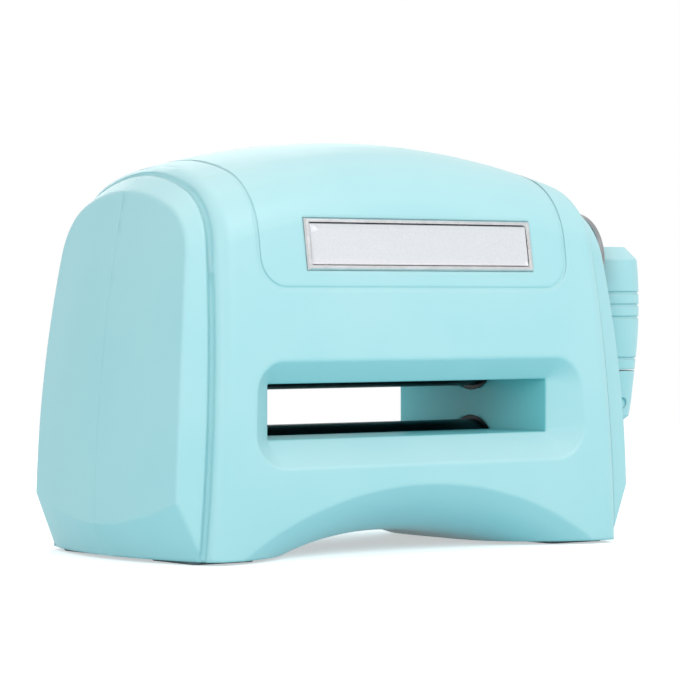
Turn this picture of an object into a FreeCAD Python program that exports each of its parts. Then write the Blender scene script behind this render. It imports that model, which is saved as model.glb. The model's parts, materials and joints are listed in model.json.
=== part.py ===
"""Hand cranked die cutting and embossing machine, built from its separate pieces.

Millimetres. X runs along the rollers, with the crank on the +X end. Y runs from the
front mouth (-Y) to the rear mouth (+Y). Z is up, and the table is z = 0.
"""
import FreeCAD, Part
import math
import os
import re
import Sketcher

DOC = FreeCAD.newDocument("die_cutting_machine")
SHEET = DOC.addObject("Spreadsheet::Sheet", "Sheet")
V = FreeCAD.Vector
X_AXIS, Y_AXIS, Z_AXIS = V(1, 0, 0), V(0, 1, 0), V(0, 0, 1)

# The sheet of sizes. Numbers drive the model, and formulas follow other sizes by a named
# clearance, so that one changed number takes along what belongs with it.
SIZES = {
    # what the machine has to take
    "slot_width": 154.0,
    "slot_opening": 23.6,
    "roller_gap": 15.4,         # clear height between the two rollers
    # housing
    "foot_drop": 1.5,           # height of the rubber feet below the housing
    "body_height": 177.5,       # housing from its underside to the crown
    "crown_radius": 380.0,      # arc of the roof, seen from the front
    "belly_depth": 63.4,        # half depth at the widest height
    "belly_height": 35.0,       # that height above the underside
    "belly_radius": 625.0,      # arc of the front wall, seen from the end
    "shoulder_radius": 34.0,    # round between front wall and roof
    "roof_crown_radius": 100.0, # arc of the roof, seen from the end
    "end_room": 36.3,           # from the slot's end to the housing's end, at the underside
    "body_half_length": "slot_width / 2 + end_room",
    "end_lean": 3.5,            # degrees that the ends lean in
    "end_corner_radius": 8.0,
    "housing_wall": 2.6,
    "seam_gap": 0.08,           # hairline between the two housing halves
    "seat_gap": 0.3,            # play round a piece that sits in a recess
    "rib_thickness": 1.8,       # ribs that take the edges of the steel frames
    "rib_grip": 3.5,
    # end caps of the housing
    "cap_depth": 16.4,
    "cap_reach": "body_half_length + cap_depth",    # furthest point of the end face
    "cap_face_share": 4.6,
    "cap_face_radius": "body_height * cap_face_share",  # arc of the end face, seen from the front
    "cap_face_foot": 3.7,       # its furthest point lies this far below the underside
    "cap_bulge_radius": 320.0,  # arc of the end face, seen from above
    "cap_step": 6.0,            # cap inside the housing outline where it leaves it
    "cap_side_taper": 0.27,     # mm narrower each side per mm outwards
    "cap_roof_drop": 1.5,       # roof of the cap below the roof of the housing there
    "cap_roof_taper": 0.725,    # mm lower per mm outwards
    "cap_shoulder_radius": 30.5,
    "cap_crown_radius": 78.0,
    "cap_root_depth": 8.0,      # how far the cap's form runs on into the housing
    "cap_groove_radius": 1.5,   # round groove where the cap leaves the housing
    "cap_toe_inset": 5.9,
    "cap_toe_reach": "cap_reach - cap_toe_inset",   # underside of the cap from the middle
    "cap_toe_radius": 150.0,    # arc of that underside edge, seen from above
    "cap_toe_rise": 2.4,        # slope of the toe bevel, mm up per mm out
    "cap_edge_radius": 2.2,
    # feed mouth and channel
    "slot_share": 0.3431,       # middle of the slot, as a share of the height
    "slot_level": "body_height * slot_share",
    "channel_half_depth": "belly_depth - mouth_run",
    "mouth_run": 11.5,          # depth of the flared mouth
    "mouth_flare_across": 14.0,
    "mouth_flare_up": 11.7,
    "mouth_corner_radius": 16.0,
    "slot_corner_radius": 0.8,
    "mouth_edge_radius": 1.4,
    # arch and tunnel under the body
    "arch_inset": 14.0,         # foot of the arch from the housing's end
    "arch_half_width": "body_half_length - arch_inset",
    "arch_rise": 28.4,
    "tunnel_half_width": 54.0,
    "tunnel_rise": 6.5,
    "arch_power": 4.3,          # how late the tunnel opens into the arch
    # moulded groove round the top panel
    "panel_margin": 7.5,        # panel wider than the slot, each side
    "panel_half_width": "slot_width / 2 + panel_margin",
    "panel_drop": 64.6,         # below the crown
    "panel_level": "body_height - panel_drop",
    "panel_corner_radius": 13.0,
    "panel_groove_width": 1.5,
    "panel_groove_depth": 0.5,
    # badge
    "badge_inset": 14.6,        # badge narrower than the slot, each side
    "badge_width": "slot_width - 2 * badge_inset",
    "badge_height": 22.4,
    "badge_drop": 45.9,         # below the crown
    "badge_level": "body_height - badge_drop",
    "badge_across": 2.4,        # towards the crank from the middle
    "badge_recess": 0.8,
    "badge_proud": 1.1,
    "badge_rim_bevel_out": "badge_proud * 0.6",
    "badge_rim_bevel_in": "badge_proud * 0.5",
    "badge_rim_width": 2.4,
    "badge_dome": 0.9,
    "badge_dome_round": "badge_dome * 0.8",
    # rubber feet
    "foot_length": 32.0,
    "foot_width": 34.0,
    "foot_inset": 15.8,         # middle of a foot from the housing's end
    "foot_across": "body_half_length - foot_inset",
    "foot_apart": 34.0,
    "foot_recess": 1.0,
    "foot_corner": 4.0,
    # gear train
    "tooth_module": 1.5,
    "pressure_angle": 25.0,
    "tooth_backlash": 0.12,
    "roller_teeth": 30,
    "pinion_teeth": 12,
    "idler_teeth": 24,
    "gear_width": 8.0,
    "gear_side_gap": 1.5,
    "crank_drop": 50.4,         # crank axis below the crown
    "crank_level": "body_height - crank_drop",
    # rollers and bushes
    "roller_well_gap": 2.0,
    "roller_end_gap": 0.3,
    "journal_radius": 8.0,
    "spigot_radius": 6.5,
    "shaft_flat": 1.5,          # depth of the flat that drives a gear
    "bush_wall": 3.0,
    "bush_flange_radius": 16.5,
    "bush_flange": 2.3,
    "fit_gap": 0.04,            # running fit, on the radius
    "clip_thickness": 1.0,
    "clip_depth": 1.2,
    "clip_rim": 2.4,
    # steel frame
    "frame_thickness": 4.0,
    "frame_inset": 4.9,         # frame's edge behind the inner end of the mouth
    "frame_half_depth": "channel_half_depth - frame_inset",
    "frame_bottom": 12.0,
    "frame_headroom": 33.0,     # below the crown
    "frame_top": "foot_drop + body_height - frame_headroom",
    "frame_corner": 10.0,
    "tie_radius": 4.0,
    "tie_side_inset": 16.0,     # tie rods from the frame's edges
    "tie_end_inset": 12.0,
    "tie_across": "frame_half_depth - tie_side_inset",
    "tie_low": "frame_bottom + tie_end_inset",
    "tie_high": "frame_top - tie_side_inset",
    "gear_plate_thickness": 3.0,
    "spacer_radius": 4.0,
    "plate_margin": 3.0,
    "spacer_rise": 9.0,         # upper spacers above the crank axis
    "spacer_front": 24.0,       # upper front spacer before the crank axis
    "spacer_low_front": 30.0,
    "spacer_behind": 6.0,       # upper rear spacer behind the idler axis
    "spacer_gap": 1.5,          # between a spacer and the tooth tips
    "screw_radius": 2.5,
    "screw_head_radius": 4.2,
    "screw_socket_radius": "screw_radius * 0.55",       # to the corners of the hexagon
    "screw_socket_depth": "screw_head * 0.6",
    "screw_head_bevel": "screw_head / 5",
    "screw_head": 2.6,
    "screw_length": 10.0,
    # crank
    "crank_radius": 6.0,
    "crank_bush_wall": 3.0,
    "crank_collar": 3.0,
    "idler_axle_radius": 4.0,
    "hub_pad_radius": 18.0,
    "hub_pad_inset": 5.1,
    "hub_pad_reach": "cap_reach - hub_pad_inset",
    "hub_gap": 0.6,
    "hub_radius": 14.0,
    "arm_standoff": 6.4,
    "arm_inner": "hub_pad_reach + arm_standoff",
    "arm_thickness": 6.2,
    "arm_hub_radius": 20.4,
    "arm_end_radius": 12.5,
    "arm_end_rise": 1.5,        # centre of the round end above the hinge pin
    "arm_pocket_depth": 1.6,
    "arm_rim": 4.0,
    "disc_radius": 21.6,
    "disc_thickness": 3.1,
    "disc_bevel": 0.4,
    "disc_rim": 4.2,
    "washer_radius": 10.0,
    "washer_thickness": 1.0,
    "arm_screw_head": 1.8,
    # folding grip
    "grip_standoff": 23.1,
    "grip_axis": "arm_inner + arm_thickness + grip_standoff",
    "arm_throw": 68.0,          # from the crank axis to the hinge pin
    "grip_pin_level": "crank_level - arm_throw",
    "grip_pin_radius": 2.5,
    "tongue_radius": 6.5,
    "tongue_thickness": 9.0,
    "fork_side_gap": 0.3,
    "fork_foot_radius": 8.6,
    "fork_edge": 1.0,
    "grip_seam_rise": 15.3,     # this and the next heights are above the hinge pin
    "grip_seam_level": "grip_pin_level + grip_seam_rise",
    "grip_seam_gap": 0.6,
    "grip_length": 73.8,
    "grip_top_level": "grip_pin_level + grip_length",
    "grip_top_radius": 8.8,
    "grip_top_bevel": 6.0,
    "grip_head_radius": 14.6,
    "grip_belly_radius": 15.5,
    "grip_belly_rise": 44.9,
    "grip_belly_level": "grip_pin_level + grip_belly_rise",
    "grip_neck_radius": 13.5,
    "grip_foot_radius": 11.8,
    "grip_groove_depth": 0.5,
    "grip_groove_width": 1.2,
    "grip_groove_pitch": 5.8,
    "grip_groove_rise": 46.3,
    "grip_high_groove": "grip_pin_level + grip_groove_rise",
    "spindle_radius": 4.0,
    "spindle_depth": 6.0,
    "grip_end_wall": 5.0,
    # housing screws
    "boss_radius": 4.2,
    "boss_screw_radius": 1.5,
    "boss_head_radius": 3.0,
    "boss_cross_reach": "boss_head_radius * 0.65",      # cross recess of the head
    "boss_cross_half_width": "boss_head_radius * 0.18",
    "boss_head": 2.2,
    "boss_seat": 16.0,          # depth of the screw seat behind the seam
    "boss_grip": 12.0,          # screw length in the front half
    "boss_low_inset": 9.3,     # from the housing's end
    "boss_low_across": "body_half_length - boss_low_inset",
    "boss_low_level": 8.8,
    "boss_side_inset": 17.3,
    "boss_side_across": "body_half_length - boss_side_inset",
    "boss_side_drop": 27.0,     # below the crown
    "boss_side_level": "body_height - boss_side_drop",
    "boss_roof_across": 40.0,
    "boss_roof_drop": 13.5,
    "boss_roof_level": "body_height - boss_roof_drop",
}

for row, (name, number) in enumerate(SIZES.items(), start=1):
    SHEET.set(f"A{row}", name)
    SHEET.set(f"B{row}", f"={number}" if isinstance(number, str) else str(number))
    SHEET.setAlias(f"B{row}", name)
DOC.recompute()

NAME = re.compile(r"[a-z][a-z0-9_]*")


def link(formula):
    """A formula of sheet names as an expression that any object can hold."""
    return NAME.sub(lambda m: f"Sheet.{m.group(0)}" if m.group(0) in SIZES else m.group(0),
                    f"({formula})")


def size(formula):
    """The number that a formula of sheet names gives."""
    answer = SHEET.evalExpression(f"({formula})")
    return float(getattr(answer, "Value", answer))


# Places that several pieces share, as formulas of the sheet's names.
PITCH_SPACING = "tooth_module * roller_teeth"
DRUM_RADIUS = f"({PITCH_SPACING} - roller_gap) / 2"
SLOT_MIDDLE = "foot_drop + slot_level"
UPPER_AXIS = f"{SLOT_MIDDLE} + {PITCH_SPACING} / 2"
LOWER_AXIS = f"{SLOT_MIDDLE} - {PITCH_SPACING} / 2"
CRANK_AXIS = "foot_drop + crank_level"
FRAME_INNER = "slot_width / 2 + housing_wall"
FRAME_OUTER = f"{FRAME_INNER} + frame_thickness"
ROLLER_GEAR_START = f"{FRAME_OUTER} + gear_side_gap"
ROLLER_GEAR_END = f"{ROLLER_GEAR_START} + gear_width"
CRANK_GEAR_START = f"{ROLLER_GEAR_END} + gear_side_gap"
CRANK_GEAR_END = f"{CRANK_GEAR_START} + gear_width"
GEAR_PLATE_INNER = f"{CRANK_GEAR_END} + gear_side_gap + bush_flange / 2"
GEAR_PLATE_OUTER = f"{GEAR_PLATE_INNER} + gear_plate_thickness"
ARM_OUTER = "arm_inner + arm_thickness"
PIN_LEVEL = "foot_drop + grip_pin_level"

# The idler sits where both its meshes have their true centre distance.
crank_z = size(CRANK_AXIS)
upper_z = size(UPPER_AXIS)
lower_z = size(LOWER_AXIS)
crank_to_idler = size("tooth_module * (pinion_teeth + idler_teeth) / 2")
idler_to_roller = size("tooth_module * (pinion_teeth + roller_teeth) / 2")
crank_to_roller = crank_z - upper_z
idler_fall = (crank_to_idler**2 - idler_to_roller**2 + crank_to_roller**2) / (2 * crank_to_roller)
idler_y = math.sqrt(crank_to_idler**2 - idler_fall**2)
idler_z = crank_z - idler_fall
IDLER_Y, IDLER_Z = f"{idler_y:.6f}", f"{idler_z:.6f}"

PARTS = []


# Sketch helpers

def origin_plane(body, role):
    return next(item for item in body.Origin.OriginFeatures if item.Role == role)


def new_body(label):
    body = DOC.addObject("PartDesign::Body", label)
    body.Label = label
    return body


def new_sketch(body, name, role, offset="0"):
    """A sketch on one of the body's own origin planes, moved along its normal."""
    sketch = body.newObject("Sketcher::SketchObject", name)
    sketch.AttachmentSupport = [(origin_plane(body, role), "")]
    sketch.MapMode = "FlatFace"
    sketch.setExpression(".AttachmentOffset.Base.z", link(offset))
    return sketch


def place_point(sketch, geometry, point, across, up):
    """Dimension one sketch point from the origin, both ways."""
    ways = (("DistanceX", across, "Vertical"), ("DistanceY", up, "Horizontal"))
    for kind, formula, aligned in ways:
        number = size(formula)
        if abs(number) < 1e-9:
            sketch.addConstraint(Sketcher.Constraint(aligned, geometry, point, -1, 1))
            continue
        index = sketch.addConstraint(Sketcher.Constraint(kind, -1, 1, geometry, point, number))
        sketch.setExpression(f"Constraints[{index}]", link(formula))


def draw_polygon(sketch, corners):
    """A closed outline of straight lines through corners given as two formulas each."""
    points = [V(size(across), size(up), 0) for across, up in corners]
    first = sketch.GeometryCount
    count = len(points)
    for i, start in enumerate(points):
        sketch.addGeometry(Part.LineSegment(start, points[(i + 1) % count]), False)
    for i, (across, up) in enumerate(corners):
        place_point(sketch, first + i, 1, across, up)
        following = first + (i + 1) % count
        sketch.addConstraint(Sketcher.Constraint("Coincident", first + i, 2, following, 1))


def draw_circle(sketch, across, up, radius):
    circle = Part.Circle(V(size(across), size(up), 0), Z_AXIS, size(radius))
    index = sketch.addGeometry(circle, False)
    place_point(sketch, index, 3, across, up)
    number = sketch.addConstraint(Sketcher.Constraint("Radius", index, size(radius)))
    sketch.setExpression(f"Constraints[{number}]", link(radius))


def draw_rounded_box(sketch, left, right, low, high, corner):
    """A rectangle with round corners: four lines and four tangent arcs."""
    x0, x1, y0, y1, r = (size(item) for item in (left, right, low, high, corner))
    centres = [(x1 - r, y0 + r, -90), (x1 - r, y1 - r, 0),
               (x0 + r, y1 - r, 90), (x0 + r, y0 + r, 180)]
    first = sketch.GeometryCount
    arcs = []
    for cx, cy, start in centres:
        circle = Part.Circle(V(cx, cy, 0), Z_AXIS, r)
        arc = Part.ArcOfCircle(circle, math.radians(start), math.radians(start + 90))
        arcs.append(sketch.addGeometry(arc, False))
    for i in range(4):
        start = sketch.getPoint(arcs[i], 2)
        end = sketch.getPoint(arcs[(i + 1) % 4], 1)
        sketch.addGeometry(Part.LineSegment(start, end), False)
    for i in range(4):
        line = first + 4 + i
        sketch.addConstraint(Sketcher.Constraint("Tangent", arcs[i], 2, line, 1))
        sketch.addConstraint(Sketcher.Constraint("Tangent", arcs[(i + 1) % 4], 1, line, 2))
        sketch.addConstraint(Sketcher.Constraint("Vertical" if i % 2 == 0 else "Horizontal", line))
    for i in range(1, 4):
        sketch.addConstraint(Sketcher.Constraint("Equal", arcs[0], arcs[i]))
    radius = sketch.addConstraint(Sketcher.Constraint("Radius", arcs[0], r))
    sketch.setExpression(f"Constraints[{radius}]", link(corner))
    place_point(sketch, arcs[1], 3, f"{right} - ({corner})", f"{high} - ({corner})")
    place_point(sketch, arcs[3], 3, f"{left} + ({corner})", f"{low} + ({corner})")


def draw_tapered_bar(sketch, top, bottom, top_radius, bottom_radius):
    """Two arcs on the sketch's vertical axis, joined by lines tangent to both."""
    high, low = size(top), size(bottom)
    big, small = size(top_radius), size(bottom_radius)
    tilt = math.asin((big - small) / (high - low))
    ends = []
    for centre, radius, start in ((high, big, -tilt), (low, small, math.pi + tilt)):
        circle = Part.Circle(V(0, centre, 0), Z_AXIS, radius)
        sweep = math.pi + 2 * tilt if centre == high else math.pi - 2 * tilt
        ends.append(sketch.addGeometry(Part.ArcOfCircle(circle, start, start + sweep), False))
    upper, lower = ends
    left = sketch.addGeometry(
        Part.LineSegment(sketch.getPoint(upper, 2), sketch.getPoint(lower, 1)), False)
    right = sketch.addGeometry(
        Part.LineSegment(sketch.getPoint(lower, 2), sketch.getPoint(upper, 1)), False)
    for arc, point, line, line_end in ((upper, 2, left, 1), (lower, 1, left, 2),
                                       (lower, 2, right, 1), (upper, 1, right, 2)):
        sketch.addConstraint(Sketcher.Constraint("Tangent", arc, point, line, line_end))
    for arc, level, radius in ((upper, top, top_radius), (lower, bottom, bottom_radius)):
        place_point(sketch, arc, 3, "0", level)
        number = sketch.addConstraint(Sketcher.Constraint("Radius", arc, size(radius)))
        sketch.setExpression(f"Constraints[{number}]", link(radius))


def pad(body, sketch, length, symmetric=False):
    feature = body.newObject("PartDesign::Pad", "Pad")
    feature.Profile = sketch
    feature.setExpression("Length", link(length))
    feature.Midplane = symmetric
    DOC.recompute()
    return feature


def pocket(body, sketch, length=None, reverse=False, symmetric=False):
    """Cut a sketch out of the body. With no length it goes right through both ways."""
    before = body.Shape.Volume
    feature = body.newObject("PartDesign::Pocket", "Pocket")
    feature.Profile = sketch
    feature.Reversed = reverse
    feature.Midplane = symmetric
    if length is None:
        feature.Type = "ThroughAll"
        feature.Midplane = True
    else:
        feature.setExpression("Length", link(length))
    DOC.recompute()
    assert body.Shape.Volume < before - 1e-6, f"{body.Label}: a pocket cuts nothing"
    return feature


def turn(body, sketch, axis="H_Axis"):
    feature = body.newObject("PartDesign::Revolution", "Revolution")
    feature.Profile = sketch
    feature.ReferenceAxis = (sketch, [axis])
    feature.Angle = 360
    DOC.recompute()
    return feature


def soften(body, kind, amount, wanted):
    """Fillet or chamfer the edges of the body that the function wanted picks."""
    tip = body.Tip
    names = [f"Edge{i + 1}" for i, edge in enumerate(tip.Shape.Edges) if wanted(edge)]
    feature = body.newObject(f"PartDesign::{kind}", kind)
    feature.Base = (tip, names)
    feature.setExpression("Radius" if kind == "Fillet" else "Size", link(amount))
    DOC.recompute()
    return feature


def move_to(item, x="0", y="0", z="0"):
    for direction, formula in zip("xyz", (x, y, z)):
        item.setExpression(f".Placement.Base.{direction}", link(formula))


def turned_piece(label, corners, y="0", z="0"):
    """A piece turned about an axis along X, from corners of position and radius."""
    body = new_body(label)
    sketch = new_sketch(body, f"{label}_profile", "XY_Plane")
    draw_polygon(sketch, corners)
    turn(body, sketch)
    move_to(body, y=y, z=z)
    PARTS.append(body)
    return body


def plain_piece(label, shape, place=FreeCAD.Placement()):
    """A piece whose form is worked out below with Part's own functions."""
    item = DOC.addObject("Part::Feature", label)
    item.Label = label
    item.Shape = shape
    item.Placement = place
    PARTS.append(item)
    return item


def rod(start, end, radius, y, z):
    """A plain cylinder along X."""
    return Part.makeCylinder(radius, end - start, V(start, y, z), X_AXIS)


def post(start, end, radius, x, z):
    """A plain cylinder along Y."""
    return Part.makeCylinder(radius, end - start, V(x, start, z), Y_AXIS)


# Housing forms

lift = size("foot_drop")
wall = size("housing_wall")
shoulder = size("shoulder_radius")
belly_centre_y = size("belly_depth - belly_radius")
belly_centre_z = size("foot_drop + belly_height")
roof_centre_z = size("foot_drop + body_height - crown_radius")
slot_z = size(SLOT_MIDDLE)
end_slope = math.tan(math.radians(size("end_lean")))


def roof_level(x, inset=0.0):
    """Height of the roof above the table at one distance from the middle."""
    return roof_centre_z + math.sqrt((size("crown_radius") - inset)**2 - x**2)


def belly_level(z, inset=0.0):
    """Half depth of the housing at one height."""
    return belly_centre_y + math.sqrt((size("belly_radius") - inset)**2 - (z - belly_centre_z)**2)


def end_level(z):
    """Where the leaning end of the main housing lies at one height."""
    return size("body_half_length") - end_slope * (z - lift)


def upright_section(x, inset, bottom, top, shoulder_round, crown_round):
    """Closed outline across the housing: flat foot, bellied walls, round shoulders, crowned roof."""
    belly = size("belly_radius") - inset
    crown_centre_z = top - crown_round
    to_belly, to_crown = belly - shoulder_round, crown_round - shoulder_round
    gap_y, gap_z = -belly_centre_y, crown_centre_z - belly_centre_z
    apart = math.hypot(gap_y, gap_z)
    along = (to_belly**2 - to_crown**2 + apart**2) / (2 * apart)
    aside = math.sqrt(to_belly**2 - along**2)
    centre_y = belly_centre_y + (along * gap_y - aside * gap_z) / apart
    centre_z = belly_centre_z + (along * gap_z + aside * gap_y) / apart
    low_turn = math.atan2(centre_z - belly_centre_z, centre_y - belly_centre_y)
    high_turn = math.atan2(centre_z - crown_centre_z, centre_y)

    def on_round(angle):
        return centre_y + shoulder_round * math.cos(angle), centre_z + shoulder_round * math.sin(angle)

    touch_low, touch_high = on_round(low_turn), on_round(high_turn)
    middle_z = (bottom + touch_low[1]) / 2
    right = [(belly_level(bottom, inset), bottom), (belly_level(middle_z, inset), middle_z),
             touch_low, on_round((low_turn + high_turn) / 2), touch_high]
    foot_r, wall_r, low_r, round_r, high_r = (V(x, y, z) for y, z in right)
    foot_l, wall_l, low_l, round_l, high_l = (V(x, -y, z) for y, z in right)
    edges = [Part.LineSegment(foot_l, foot_r), Part.Arc(foot_r, wall_r, low_r),
             Part.Arc(low_r, round_r, high_r), Part.Arc(high_r, V(x, 0, top), high_l),
             Part.Arc(high_l, round_l, low_l), Part.Arc(low_l, wall_l, foot_l)]
    return Part.Wire([edge.toShape() for edge in edges])


def main_form(inset=0.0, half_length=None):
    """The housing between its end caps, shrunk by an even inset for its inside."""
    span = half_length or size("body_half_length")
    stations = [span * i / 3 for i in range(-3, 4)]
    sections = [upright_section(x, inset, lift + inset, roof_level(x, inset), shoulder - inset,
                                size("roof_crown_radius") - inset)
                for x in stations]
    return Part.makeLoft(sections, True, False)


def leaning_ends():
    """The block between the two leaning end planes."""
    high = size("foot_drop + body_height + 10")
    low = lift - 1
    depth = size("belly_depth + 20")
    corners = [V(end_level(low), -depth, low), V(end_level(high), -depth, high),
               V(-end_level(high), -depth, high), V(-end_level(low), -depth, low)]
    return Part.Face(Part.makePolygon(corners + corners[:1])).extrude(V(0, 2 * depth, 0))


def cap_outline(outward, inset=0.0):
    """Outline of the cap, parallel to the leaning end and some way outward of it."""
    narrower = size("cap_side_taper") * outward + inset
    root_x = end_level(roof_level(size("body_half_length")))
    top = roof_level(root_x) - size("cap_roof_drop") - size("cap_roof_taper") * outward - inset
    upright_top = lift + (top - lift) / math.cos(math.atan(end_slope))
    outline = upright_section(0, size("cap_step") + narrower, lift + inset, upright_top,
                              size("cap_shoulder_radius") - narrower,
                              size("cap_crown_radius") - narrower)
    outline.rotate(V(0, 0, lift), Y_AXIS, -size("end_lean"))
    outline.translate(V(size("body_half_length") + outward, 0, 0))
    return outline


def cap_form(inset=0.0):
    """The bevelled, bulging cap on the +X end."""
    ends = (-size("cap_root_depth"), size("cap_depth + cap_root_depth"))
    bevelled = Part.makeLoft([cap_outline(outward, inset) for outward in ends], True, True)
    return bevelled.common(cap_face(inset)).common(cap_toe(inset))


def cap_face(inset):
    """Everything behind the end face, which bulges both ways."""
    reach = size("cap_reach") - inset
    axis_x = size("cap_reach - cap_bulge_radius")
    radius = size("cap_face_radius")
    centre_z = lift - size("cap_face_foot")
    low, high = lift - 2, size("foot_drop + body_height + 5")
    middle = (low + high) / 2

    def face_point(z):
        return V(reach - radius + math.sqrt(radius**2 - (z - centre_z)**2), 0, z)

    outline = [Part.LineSegment(V(axis_x, 0, low), face_point(low)),
               Part.Arc(face_point(low), face_point(middle), face_point(high)),
               Part.LineSegment(face_point(high), V(axis_x, 0, high)),
               Part.LineSegment(V(axis_x, 0, high), V(axis_x, 0, low))]
    face = Part.Face(Part.Wire([edge.toShape() for edge in outline]))
    face.rotate(V(axis_x, 0, 0), Z_AXIS, -90)
    return face.revolve(V(axis_x, 0, 0), Z_AXIS, 180)


def cap_toe(inset):
    """Everything behind the bevel at the foot of the end face."""
    foot = size("cap_toe_radius") - inset
    rise = size("body_height + foot_drop") + 5
    low = lift - 2
    slope = size("cap_toe_rise")
    centre = V(size("cap_toe_reach - cap_toe_radius"), 0, low)
    cone = Part.makeCone(foot - (lift - low) / slope, foot + (rise - lift) / slope, rise - low, centre)
    cone.rotate(centre, Z_AXIS, 180)
    return cone


def rounded_rectangle(y, half_width, half_height, corner):
    """A closed outline in the plane at one y, centred on the slot."""
    across, up = half_width - corner, half_height - corner
    corners = [(across, -up, -90), (across, up, 0), (-across, up, 90), (-across, -up, 180)]
    edges = []
    ends = []
    for cx, cz, start in corners:
        turn_points = [V(cx + corner * math.cos(math.radians(start + step)), y,
                         slot_z + cz + corner * math.sin(math.radians(start + step)))
                       for step in (0, 45, 90)]
        edges.append(Part.Arc(*turn_points).toShape())
        ends.append((turn_points[0], turn_points[2]))
    outline = []
    for i, edge in enumerate(edges):
        outline.append(edge)
        outline.append(Part.LineSegment(ends[i][1], ends[(i + 1) % 4][0]).toShape())
    return Part.Wire(outline)


def mouth(y_sign, grow=0.0):
    """The flared mouth on one side, run on past the housing wall."""
    lip = size("channel_half_depth")
    sections = []
    for share in (0.0, 1.25):
        y = lip + size("mouth_run") * share
        half_width = size("slot_width / 2") + size("mouth_flare_across") * share + grow
        half_height = size("slot_opening / 2") + size("mouth_flare_up") * share + grow
        start = size("slot_corner_radius")
        corner = start + (size("mouth_corner_radius") - start) * share + grow
        sections.append(rounded_rectangle(y_sign * y, half_width, half_height, corner))
    return Part.makeLoft(sections, True, True)


def throat(grow=0.0):
    """Both mouths and the straight channel between them."""
    half_width = size("slot_width / 2") + grow
    half_height = size("slot_opening / 2") + grow
    lip = size("channel_half_depth")
    corner = V(-half_width, -lip, slot_z - half_height)
    channel = Part.makeBox(2 * half_width, 2 * lip, 2 * half_height, corner)
    return channel.multiFuse([mouth(-1, grow), mouth(1, grow)]).removeSplitter()


def arch(grow=0.0):
    """The tunnel under the body, which opens into an arch at the front and the back."""
    reach = size("belly_depth") + 3
    stations = [reach * share for share in (0, 0.2, 0.4, 0.58, 0.74, 0.88, 1)]
    halves = []
    for sign in (-1, 1):
        sections = []
        for y in stations:
            opened = (y / size("belly_depth"))**size("arch_power")
            half = size("tunnel_half_width")
            half += (size("arch_half_width") - half) * opened + grow
            rise = size("tunnel_rise")
            rise += (size("arch_rise") - rise) * opened + grow
            left, right = V(-half, sign * y, lift), V(half, sign * y, lift)
            top = V(0, sign * y, lift + rise)
            drop = V(0, 0, -3)
            edges = [Part.Arc(left, top, right), Part.LineSegment(right, right + drop),
                     Part.LineSegment(right + drop, left + drop), Part.LineSegment(left + drop, left)]
            sections.append(Part.Wire([edge.toShape() for edge in edges]))
        halves.append(Part.makeLoft(sections, True, False))
    return halves[0].fuse(halves[1])


def panel_prism(grow):
    """The outline of the top panel, run through the housing from front to back."""
    half = size("panel_half_width") + grow
    bottom = size("foot_drop + panel_level") - grow
    top = size("foot_drop + body_height") + 5
    corner = size("panel_corner_radius") + grow
    depth = size("belly_depth") + 5
    bend = corner * (1 - math.sqrt(0.5))
    outline = [Part.LineSegment(V(half - corner, -depth, bottom), V(corner - half, -depth, bottom)),
               Part.Arc(V(corner - half, -depth, bottom), V(bend - half, -depth, bottom + bend),
                        V(-half, -depth, bottom + corner)),
               Part.LineSegment(V(-half, -depth, bottom + corner), V(-half, -depth, top)),
               Part.LineSegment(V(-half, -depth, top), V(half, -depth, top)),
               Part.LineSegment(V(half, -depth, top), V(half, -depth, bottom + corner)),
               Part.Arc(V(half, -depth, bottom + corner), V(half - bend, -depth, bottom + bend),
                        V(half - corner, -depth, bottom))]
    face = Part.Face(Part.Wire([edge.toShape() for edge in outline]))
    return face.extrude(V(0, 2 * depth, 0))


# Housing halves

def rounded_ends():
    """The main housing with its end corners rounded."""
    form = main_form().common(leaning_ends())
    corners = []
    for edge in form.Edges:
        middle = edge.valueAt((edge.FirstParameter + edge.LastParameter) / 2)
        points = [middle, edge.Vertexes[0].Point, edge.Vertexes[-1].Point]
        on_end = all(abs(abs(point.x) - end_level(point.z)) < 1e-3 for point in points)
        if on_end and middle.z > lift + 1:
            corners.append(edge)
    return form.makeFillet(size("end_corner_radius"), corners)


def rounded_cap():
    """The end cap with the edges of its flat face and toe bevel softened."""
    form = cap_form()
    face_foot = size("body_half_length") - 4
    edges = [edge for edge in form.Edges
             if edge.CenterOfMass.x > face_foot and edge.CenterOfMass.z > lift + 1
             and abs(edge.CenterOfMass.y) > 1]
    return form.makeFillet(size("cap_edge_radius"), edges)


def cap_groove():
    """A round channel along the line where the cap leaves the end of the housing."""
    outline = cap_outline(0)
    rim = [edge for edge in outline.Edges if edge.BoundBox.ZLength > 1]
    path = Part.Wire(Part.sortEdges(rim)[0])
    start = path.OrderedVertexes[0].Point
    first = path.OrderedEdges[0]
    heading = first.tangentAt(first.FirstParameter)
    ring = Part.Wire(Part.makeCircle(size("cap_groove_radius"), start, heading))
    return path.makePipeShell([ring], True, True)


def softened_mouths(form):
    """Round over the outer edge of both mouths."""
    lip = size("channel_half_depth") + 1
    edges = []
    for edge in form.Edges:
        box = edge.BoundBox
        middle = edge.valueAt((edge.FirstParameter + edge.LastParameter) / 2)
        near_slot = abs(middle.z - slot_z) < size("slot_opening / 2 + mouth_flare_up") + 2
        flared = abs(middle.x) < size("slot_width / 2 + mouth_flare_across") + 2
        on_wall = abs(abs(middle.y) - belly_level(middle.z)) < 0.05 and box.YLength < 3
        if near_slot and flared and on_wall and abs(middle.y) > lip:
            edges.append(edge)
    return form.makeFillet(size("mouth_edge_radius"), edges)


def groove_cut():
    """The shallow groove that runs round the top panel, over both sides."""
    half_width = size("panel_groove_width") / 2
    ring = panel_prism(half_width).cut(panel_prism(-half_width))
    skin = main_form(-2.0).cut(main_form(size("panel_groove_depth")))
    return ring.common(skin)


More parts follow.
